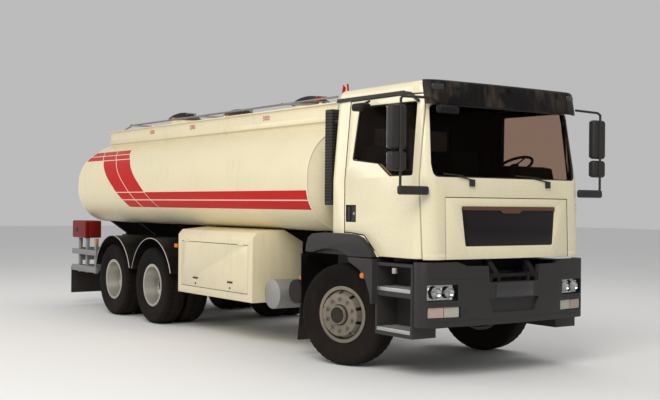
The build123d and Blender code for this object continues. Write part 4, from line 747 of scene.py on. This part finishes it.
class TANKER_OT_cab(bpy.types.Operator):
    """Paints the cab and builds its trim, mirrors, wipers and handles"""

    bl_idname = "tanker.cab"
    bl_label = "Cab"

    def execute(self, context):
        for node in ("cab_rear_wall", "cab_sides", "cab_front"):
            dress_split(node, "cab_paint", "dash_plastic", faces_cab_room, 0.002)
        dress_split("cab_roof", "cab_paint", "dash_plastic", faces_cab_room, smooth=math.radians(40))
        dress_split("cab_floor", "cab_paint", "chassis_paint", self.under_cab, 0.002)
        dress("front_flap", "cab_paint", 0.005)
        for name, side in SIDES.items():
            dress_split(f"door_{name}", "cab_paint", "dash_plastic", faces_cab_room, 0.003)
            dress(f"door_glass_{name}", "cab_window")
            pane_seal(
                f"door_glass_{name}",
                f"door_seal_{name}",
                f"door_{name}",
                0.009,
                lambda f, side=side: f.normal.y * side > 0.9,
            )
            self.door_handle(name, side)
            self.mirror(name, side)
        # The rear pane takes the dark glass that is painted shade.
        dress_split("cab_glass", "cab_window", "rear_window_painted_shade", lambda f: f.calc_center_median().x < 3.5)
        pane_seal("cab_glass", "screen_seal", "cab", 0.012, lambda f: f.normal.x > 0.5)
        dress("cab_trim", "dark_plastic", 0.012)
        dress("sun_visor", "worn_visor", 0.004)
        dress("dashboard", "dash_plastic", 0.003)
        self.seats()
        self.grille()
        self.visor_lamps()
        self.duct_ribs()
        self.wipers()
        self.gutters()
        self.small_mirrors()
        self.corner_slots()
        self.arch_liners()
        return {"FINISHED"}

    def under_cab(self, face):
        """Picks the tilt arms, the firewall and the inside of the floor."""
        centre = face.calc_center_median()
        if centre.z < 1.168 or centre.z > 1.232:
            return True
        edge = abs(centre.y) > 1.03 or centre.x < 2.87 or (centre.x > 4.33 and face.normal.x > 0.2)
        return not edge

    def small_mirrors(self):
        bm = bmesh.new()
        add_box(bm, (3.40, -1.255, 2.655), (3.60, -1.135, 2.735))
        soften(bm, 0.028, segments=4)
        add_rod(bm, (3.50, -1.15, 2.735), (3.50, -1.085, 2.765), 0.012, 12)
        publish("kerb_mirror", bm, "visor_plastic", "door_right", smooth=math.radians(45))
        bm = bmesh.new()
        turned_box(bm, (4.438, -0.845, 2.625), (0.085, 0.30, 0.085), 12)
        soften(bm, 0.03, segments=4)
        add_path(bm, [(4.425, -0.90, 2.66), (4.41, -0.97, 2.70), (4.38, -1.0, 2.735)], 0.011)
        publish("front_mirror", bm, "visor_plastic", "cab", smooth=math.radians(45))

    def corner_slots(self):
        bm = bmesh.new()
        for index in range(8):
            z = 1.40 + index * 0.045
            turned_box(bm, (4.3615, 1.0625, z), (0.006, 0.085, 0.014), 47)
        publish("corner_slots", bm, "seal_rubber", "cab")

    def arch_liners(self):
        """Dark liners over the cab's edge inside the front arches."""
        edge = [(-0.420, 1.166), (0.236, 1.166), (0.236, 1.195), (0.140, 1.215), (0.030, 1.236)]
        edge += [(-0.090, 1.242), (-0.220, 1.232), (-0.340, 1.208), (-0.420, 1.190)]
        bm = bmesh.new()
        for side in SIDES.values():
            add_prism(bm, [(AXLE_X + x, side * 1.119, z) for x, z in edge], (0, side * 0.004, 0))
        publish("arch_liners", bm, "dark_plastic", "cab")

    def door_handle(self, name, side):
        x, z = AXLE_X, 1.604
        y = side * 1.1205
        bm = bmesh.new()
        add_box(bm, (x + 0.086, min(y, side * 1.0925), 1.516), (x + 0.273, max(y, side * 1.0925), 1.692))
        hollow = [f for f in bm.faces if f.normal.y * side > 0.9]
        bmesh.ops.inset_region(bm, faces=hollow, thickness=0.014, depth=-0.02)
        soften(bm, 0.003)
        publish(f"handle_cup_{name}", bm, "dark_plastic", f"door_{name}")
        bm = bmesh.new()
        add_box(bm, (x + 0.120, side * 1.106 - 0.009, 1.530), (x + 0.165, side * 1.106 + 0.009, 1.678))
        soften(bm, 0.007, segments=3)
        publish(f"handle_grip_{name}", bm, "dark_plastic", f"door_{name}")
        bm = bmesh.new()
        add_rod(bm, (x + 0.222, side * 1.094, z), (x + 0.222, side * 1.106, z), 0.016)
        publish(f"handle_lock_{name}", bm, "drum_steel", f"door_{name}")

    def mirror(self, name, side):
        bm = bmesh.new()
        low, high = sorted((side * 1.312, side * 1.510))
        for bottom, top in ((2.224, 2.649), (2.020, 2.205)):
            add_box(bm, (4.310, low, bottom), (4.400, high, top))
        soften(bm, 0.034, segments=5)
        x, y = 4.404, side * 1.400
        elbow = (x - 0.012, y - side * 0.03, 2.725)
        add_path(bm, [(x, y, 1.845), (x, y, 2.700), elbow, (x - 0.03, side * 1.040, 2.735)], 0.013)
        foot = bmesh.new()
        side_box(foot, side, (4.376, 4.4285), (1.055, 1.425), (1.795, 1.880))
        soften(foot, 0.022, segments=4)
        publish(f"mirror_foot_{name}", foot, "dark_plastic", "cab", smooth=math.radians(45))
        publish(f"mirror_{name}", bm, "dark_plastic", "cab", ["mirrors"], math.radians(40))
        bm = bmesh.new()
        for bottom, top in ((2.224, 2.649), (2.020, 2.205)):
            add_box(bm, (4.3085, low + 0.018, bottom + 0.018), (4.3115, high - 0.018, top - 0.018))
        publish(f"mirror_face_{name}", bm, "mirror_face", "cab")

    def seats(self):
        for name, side in SIDES.items():
            low, high = sorted((side * 0.585 - 0.245, side * 0.585 + 0.245))
            bm = bmesh.new()
            add_pad(bm, (3.085, low, 1.490), (3.600, high, 1.630))
            cushion = publish(f"seat_cushion_{name}", bm, "seat_cloth", "cab", ["seats"], math.radians(60))
            bm = bmesh.new()
            add_pad(bm, (2.995, low, 1.610), (3.105, high, 2.335))
            for vert in bm.verts:
                vert.co.x += 0.12 * max(0, (2.0 - vert.co.z)) / 0.5
            back = publish(f"seat_back_{name}", bm, "seat_cloth", "cab", smooth=math.radians(60))
            bm = bmesh.new()
            add_box(bm, (3.17, low + 0.08, 1.230), (3.53, high - 0.08, 1.500))
            soften(bm, 0.01)
            publish(f"seat_base_{name}", bm, "dash_plastic", "cab")

    def grille(self):
        dress("grille", "grille_plastic", 0.002)
        front_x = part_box("grille")[1].x
        bm = bmesh.new()
        for index in range(5):
            z = 1.335 + index * 0.062
            half = 0.600 + 0.045 * (z - 1.296) / 0.393
            add_box(bm, (front_x - 0.016, -half, z), (front_x - 0.010, half, z + 0.004))
        bmesh.ops.subdivide_edges(bm, edges=[e for e in bm.edges if e.calc_length() > 0.5], cuts=16)
        self.bow(bm)
        publish("grille_slats", bm, "seal_rubber", "front_flap")
        bm = bmesh.new()
        bar = [(-0.648, 1.688), (0.648, 1.688), (0.644, 1.652), (0.16, 1.652), (0.11, 1.622), (-0.11, 1.622)]
        bar += [(-0.16, 1.652), (-0.644, 1.652)]
        add_prism(bm, [(front_x - 0.012, y, z) for y, z in bar], (0.014, 0, 0))
        bmesh.ops.triangulate(bm, faces=bm.faces)
        bmesh.ops.subdivide_edges(bm, edges=[e for e in bm.edges if e.calc_length() > 0.15], cuts=6)
        self.bow(bm)
        publish("grille_bar", bm, "bronze_bar", "front_flap", smooth=math.radians(20))

    def bow(self, bm):
        """Bends flat front pieces round the cab's bowed face."""
        for vert in bm.verts:
            vert.co.x -= 0.045 * (vert.co.y / 1.12) ** 2

    def visor_lamps(self):
        for name, side in SIDES.items():
            bm = bmesh.new()
            turned_box(bm, (4.372, side * 0.925, 2.848), (0.045, 0.135, 0.06), side * 14)
            soften(bm, 0.014, segments=4)
            publish(f"visor_lamp_{name}", bm, "plate_blank", "cab")

    def duct_ribs(self):
        bm = bmesh.new()
        for index in range(30):
            z = 1.74 + index * 0.0325
            add_box(bm, (2.668, -1.0645, z), (2.788, -1.0605, z + 0.014))
            add_box(bm, (2.7915, -1.058, z), (2.7945, -0.942, z + 0.014))
        publish("duct_ribs", bm, "visor_plastic", "cab")

    def wipers(self):
        bm = bmesh.new()
        for y, reach in ((-0.525, -0.36), (0.540, -0.45)):
            x = 4.452 - 0.045 * (y / 1.12) ** 2
            add_box(bm, (x - 0.02, y - 0.028, 1.885), (x + 0.018, y + 0.028, 1.955))
            add_rod(bm, (x + 0.005, y, 1.950), (x - 0.002, y + reach * 0.5, 1.985), 0.007, 8)
            add_rod(bm, (x - 0.012, y - 0.1, 1.990), (x - 0.016, y + reach, 2.005), 0.006, 8)
        publish("wipers", bm, "seal_rubber", "cab")

    def gutters(self):
        bm = bmesh.new()
        for side in SIDES.values():
            side_box(bm, side, (2.880, 4.020), (1.036, 1.058), (2.792, 2.832))
            drip = [(4.015, side * 1.046, 2.812), (4.12, side * 1.048, 2.795), (4.245, side * 1.052, 2.715)]
            add_path(bm, drip, 0.016)
        publish("roof_gutters", bm, "seal_rubber", "cab")


# ------------------------------------------------------------------ front end
def bumper_x(y):
    """Where the bumper's bowed front stands at a distance from the middle."""
    return 4.525 - 0.100 * (y / 1.138) ** 2


class TANKER_OT_front(bpy.types.Operator):
    """Builds the bumper, lamps, plate panel and steps"""

    bl_idname = "tanker.front"
    bl_label = "Front end"

    def execute(self, context):
        dress_split("front_bumper", "dark_plastic", "plate_blank", self.plate_panel, 0.006)
        dress("step_wells", "dark_plastic", 0.006)
        dress("step_treads", "tread_plate", 0.005)
        self.lamps()
        self.bumper_lines()
        bm = bmesh.new()
        for side in SIDES.values():
            for z in (0.86, 0.66):
                x = bumper_x(0.625)
                add_rod(bm, (x - 0.012, side * 0.625, z), (x + 0.001, side * 0.625, z), 0.020, 18)
        publish("bumper_plugs", bm, "seal_rubber", "chassis")
        bm = bmesh.new()
        for side in SIDES.values():
            for top in (0.480, 0.880):
                for row in range(4):
                    for column in range(13):
                        x = 3.765 + column * 0.037 + (0.018 if row % 2 else 0)
                        y = side * (0.925 + row * 0.058)
                        if x < 4.25:
                            add_rod(bm, (x, y, top - 0.001), (x, y, top + 0.004), 0.012, 8, 0.009)
        publish("tread_studs", bm, "tread_plate", "chassis")
        bm = bmesh.new()
        for side in SIDES.values():
            for x, z, y in ((3.545, 0.975, 1.195), (2.372, 0.88, 1.16)):
                add_rod(bm, (x, side * (y - 0.01), z), (x, side * (y + 0.012), z), 0.034, 20, 0.026)
        publish("side_markers", bm, "amber_lens", "chassis")
        bm = bmesh.new()
        add_box(bm, (4.084, -0.52, 0.970), (4.100, 0.52, 1.150))
        publish("radiator_frame", bm, "chassis_paint", "chassis")
        bm = bmesh.new()
        for side in SIDES.values():
            side_box(bm, side, (3.985, 4.035), (1.130, 1.158), (1.02, 1.075))
        soften(bm, 0.005)
        publish("step_lamps", bm, "pale_trim", "chassis")
        return {"FINISHED"}

    def plate_panel(self, face):
        return face.calc_center_median().x > PLATE_FACE_X

    def bumper_lines(self):
        bm = bmesh.new()
        for side in SIDES.values():
            for z, reach in ((0.985, (0.37, 1.03)), (0.575, (0.10, 1.03)), (0.745, (0.72, 1.03))):
                steps = [reach[0] + (reach[1] - reach[0]) * i / 12 for i in range(13)]
                add_path(bm, [(bumper_x(y) - 0.002, side * y, z) for y in steps], 0.0045, 8)
        publish("bumper_lines", bm, "seal_rubber", "chassis")

    def lamps(self):
        bm = cad_mesh("lamps", lambda f: f.calc_center_median().x > 0 and f.normal.x > 0.25)
        publish("lamp_lenses", bm, "lamp_glass", "chassis", ["lamps"])
        bm = cad_mesh("lamps", lambda f: f.calc_center_median().x > 0 and f.normal.x <= 0.25)
        publish("lamp_housings", bm, "reflector", "chassis")
        bm = cad_mesh("lamps", lambda f: f.calc_center_median().x < TAIL_PANEL_X)
        publish("tail_lamps", bm, "red_lens", "chassis")
        bm = cad_mesh("lamps", lambda f: TAIL_PANEL_X <= f.calc_center_median().x < 0)
        publish("tail_panel", bm, "grey_bars", "chassis")
        bm = bmesh.new()
        blush = bmesh.new()
        pale = bmesh.new()
        for side in SIDES.values():
            for y, radius in ((0.815, 0.060), (0.965, 0.064)):
                x = bumper_x(y) - 0.043
                place = Matrix.Translation((x, side * y, 0.852)) @ Matrix.Rotation(-math.pi / 2, 4, "Z")
                bowl = [(radius, 0.022), (radius * 0.86, 0.004), (radius * 0.55, -0.012), (0.018, -0.02)]
                bowl += [(0.018, 0.0), (0.0, 0.006)]
                lathe(bm, bowl, place, 40)
            turned_box(blush, (bumper_x(0.975) - 0.028, side * 0.975, 0.6625), (0.03, 0.17, 0.098), side * 11)
            turned_box(pale, (bumper_x(0.795) - 0.028, side * 0.795, 0.6625), (0.03, 0.17, 0.098), side * 8)
        publish("lamp_bowls", bm, "reflector", "chassis")
        publish("turn_lamps", blush, "blush_lens", "chassis")
        publish("fog_lamps", pale, "pale_lens", "chassis")


# ------------------------------------------------------------------ chassis
class TANKER_OT_chassis(bpy.types.Operator):
    """Dresses the frame, axles, guards, boxes and bars"""

    bl_idname = "tanker.chassis"
    bl_label = "Chassis"

    def execute(self, context):
        dress("frame", "chassis_paint", 0.003)
        for node in ("axles", "driveline", "knuckle_left", "knuckle_right", "track_rod"):
            dress(node, "cast_parts", 0.003)
        dress("leaf_springs", "chassis_paint", 0.002)
        dress("mudguards", "visor_plastic")
        dress("rear_bars", "grey_bars", 0.004)
        dress("tool_cabinet", "cream_paint", 0.004)
        dress("cabinet_door", "cream_paint", 0.004)
        dress("side_boxes", "tread_plate", 0.004)
        dress_split(
            "silencer_and_air_tanks",
            "drum_steel",
            "chassis_paint",
            lambda f: f.calc_center_median().x > 1.88 or f.calc_center_median().y > -0.42,
            0.006,
        )
        # The box and its lid take the red that carries painted shade.
        dress("extinguisher_box", "red_box", 0.003)
        dress("extinguisher_lid", "red_box", 0.006)
        bm = bmesh.new()
        for side in SIDES.values():
            for x in REAR_AXLES.values():
                points = []
                for step in range(25):
                    angle = math.radians(18 + 144 * step / 24)
                    reach, rise = 0.662 * math.cos(angle), 0.662 * math.sin(angle)
                    points.append((x + reach, side * 1.243, HUB_Z + rise))
                add_path(bm, points, 0.007, 8)
        publish("arch_trim", bm, "pale_trim", "chassis")
        bm = bmesh.new()
        for x in (-0.050, 0.860):
            add_box(bm, (x - 0.065, -1.228, 0.716), (x + 0.065, -1.2195, 0.738))
            add_rod(bm, (x, -1.2195, 0.655), (x, -1.226, 0.655), 0.014, 16)
        soften(bm, 0.003)
        publish("cabinet_latches", bm, "seal_rubber", "cabinet_door")
        bm = bmesh.new()
        add_rod(bm, (-4.30, -1.1995, 1.25), (-4.30, -1.206, 1.25), 0.038, 24)
        publish("box_latch", bm, "seal_rubber", "extinguisher_lid")
        bm = bmesh.new()
        for x, z, y in ((-0.63, 1.10, 1.205), (-3.44, 1.05, 1.205)):
            for side in SIDES.values():
                side_box(bm, side, (x - 0.035, x + 0.035), (y, y + 0.02), (z, z + 0.05))
        publish("rear_markers", bm, "amber_lens", "chassis")
        return {"FINISHED"}


# ------------------------------------------------------------------ stage
class TANKER_OT_stage(bpy.types.Operator):
    """Adds the pale floor, the soft lights and the camera"""

    bl_idname = "tanker.stage"
    bl_label = "Stage"

    def execute(self, context):
        scene = context.scene
        bm = bmesh.new()
        bmesh.ops.create_grid(bm, x_segments=1, y_segments=1, size=60)
        mesh = bpy.data.meshes.new("floor")
        bm.to_mesh(mesh)
        bm.free()
        floor = bpy.data.objects.new("floor", mesh)
        scene.collection.objects.link(floor)
        pale = bpy.data.materials.new("floor_pale")
        pale.use_nodes = True
        shader = pale.node_tree.nodes["Principled BSDF"]
        shader.inputs["Base Color"].default_value = (0.82, 0.82, 0.82, 1)
        shader.inputs["Roughness"].default_value = 0.9
        mesh.materials.append(pale)
        floor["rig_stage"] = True
        world = bpy.data.worlds.new("studio")
        world.use_nodes = True
        world.node_tree.nodes["Background"].inputs["Color"].default_value = (1.0, 1.0, 1.0, 1)
        world.node_tree.nodes["Background"].inputs["Strength"].default_value = scene.tanker.sky
        scene.world = world
        for name, place, target, size, power in (
            ("key", (9.0, -9.0, 9.5), (0.5, 0, 1.4), 7.0, 1020),
            ("fill", (-7.0, -10.0, 6.0), (-1.5, 0, 1.4), 7.0, 330),
            ("top", (0.0, 5.0, 11.0), (0.0, 0, 1.5), 8.0, 260),
        ):
            data = bpy.data.lights.new(name, "AREA")
            data.shape = "SQUARE"
            data.size = size
            data.energy = power
            data.color = (1.0, 0.97, 0.92)
            lamp = bpy.data.objects.new(name, data)
            scene.collection.objects.link(lamp)
            lamp.location = place
            lamp.rotation_euler = (Vector(target) - Vector(place)).to_track_quat("-Z", "Y").to_euler()
            lamp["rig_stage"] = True
        data = bpy.data.cameras.new("camera")
        data.lens = 56.08
        data.sensor_width = 36
        camera = bpy.data.objects.new("camera", data)
        scene.collection.objects.link(camera)
        turn, pitch, roll = math.radians(55.074), math.radians(0.2825), math.radians(0.542)
        ahead = Vector((-math.sin(turn) * math.cos(pitch), math.cos(turn) * math.cos(pitch), math.sin(pitch)))
        across = Vector((math.cos(turn), math.sin(turn), 0))
        up = across.cross(ahead)
        right = math.cos(roll) * across + math.sin(roll) * up
        up = -math.sin(roll) * across + math.cos(roll) * up
        matrix = Matrix((right, up, -ahead)).transposed().to_4x4()
        matrix.translation = (11.950, -7.472, 1.690)
        camera.matrix_world = matrix
        scene.camera = camera
        scene.view_settings.view_transform = "Standard"
        return {"FINISHED"}


class TankerSettings(bpy.types.PropertyGroup):
    dust: FloatProperty(name="Dust", description="How dusty the finishes are", default=1.0, min=0.0, max=2.0)
    tread_depth: FloatProperty(
        name="Tread depth",
        description="Depth of the tyre grooves",
        default=0.013,
        subtype="DISTANCE",
        unit="LENGTH",
    )
    sky: FloatProperty(name="Sky", description="Strength of the surrounding light", default=0.5, min=0.0)


class TANKER_PT_panel(bpy.types.Panel):
    bl_label = "Tanker truck"
    bl_space_type = "VIEW_3D"
    bl_region_type = "UI"
    bl_category = "Tanker"

    def draw(self, context):
        layout = self.layout
        for name in ("dust", "tread_depth", "sky"):
            layout.prop(context.scene.tanker, name)
        for operator in OPERATORS:
            layout.operator(operator.bl_idname)


OPERATORS = (
    TANKER_OT_tank,
    TANKER_OT_cab,
    TANKER_OT_front,
    TANKER_OT_chassis,
    TANKER_OT_wheels,
    TANKER_OT_stage,
)


def register():
    bpy.utils.register_class(TankerSettings)
    bpy.types.Scene.tanker = PointerProperty(type=TankerSettings)
    for cls in (*OPERATORS, TANKER_PT_panel):
        bpy.utils.register_class(cls)


def unregister():
    for cls in (TANKER_PT_panel, *reversed(OPERATORS)):
        bpy.utils.unregister_class(cls)
    del bpy.types.Scene.tanker
    bpy.utils.unregister_class(TankerSettings)


def main():
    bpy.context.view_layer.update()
    register()
    make_materials()
    bpy.ops.tanker.tank()
    bpy.ops.tanker.cab()
    bpy.ops.tanker.front()
    bpy.ops.tanker.chassis()
    bpy.ops.tanker.wheels()
    bpy.ops.tanker.stage()
    bpy.context.view_layer.update()
    low, high = Vector((1e9,) * 3), Vector((-1e9,) * 3)
    for item in bpy.data.objects:
        if item.type != "MESH" or item.hide_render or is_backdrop(item):
            continue
        for vert in item.data.vertices:
            low = Vector(map(min, low, vert.co))
            high = Vector(map(max, high, vert.co))


if __name__ == "__main__":
    main()
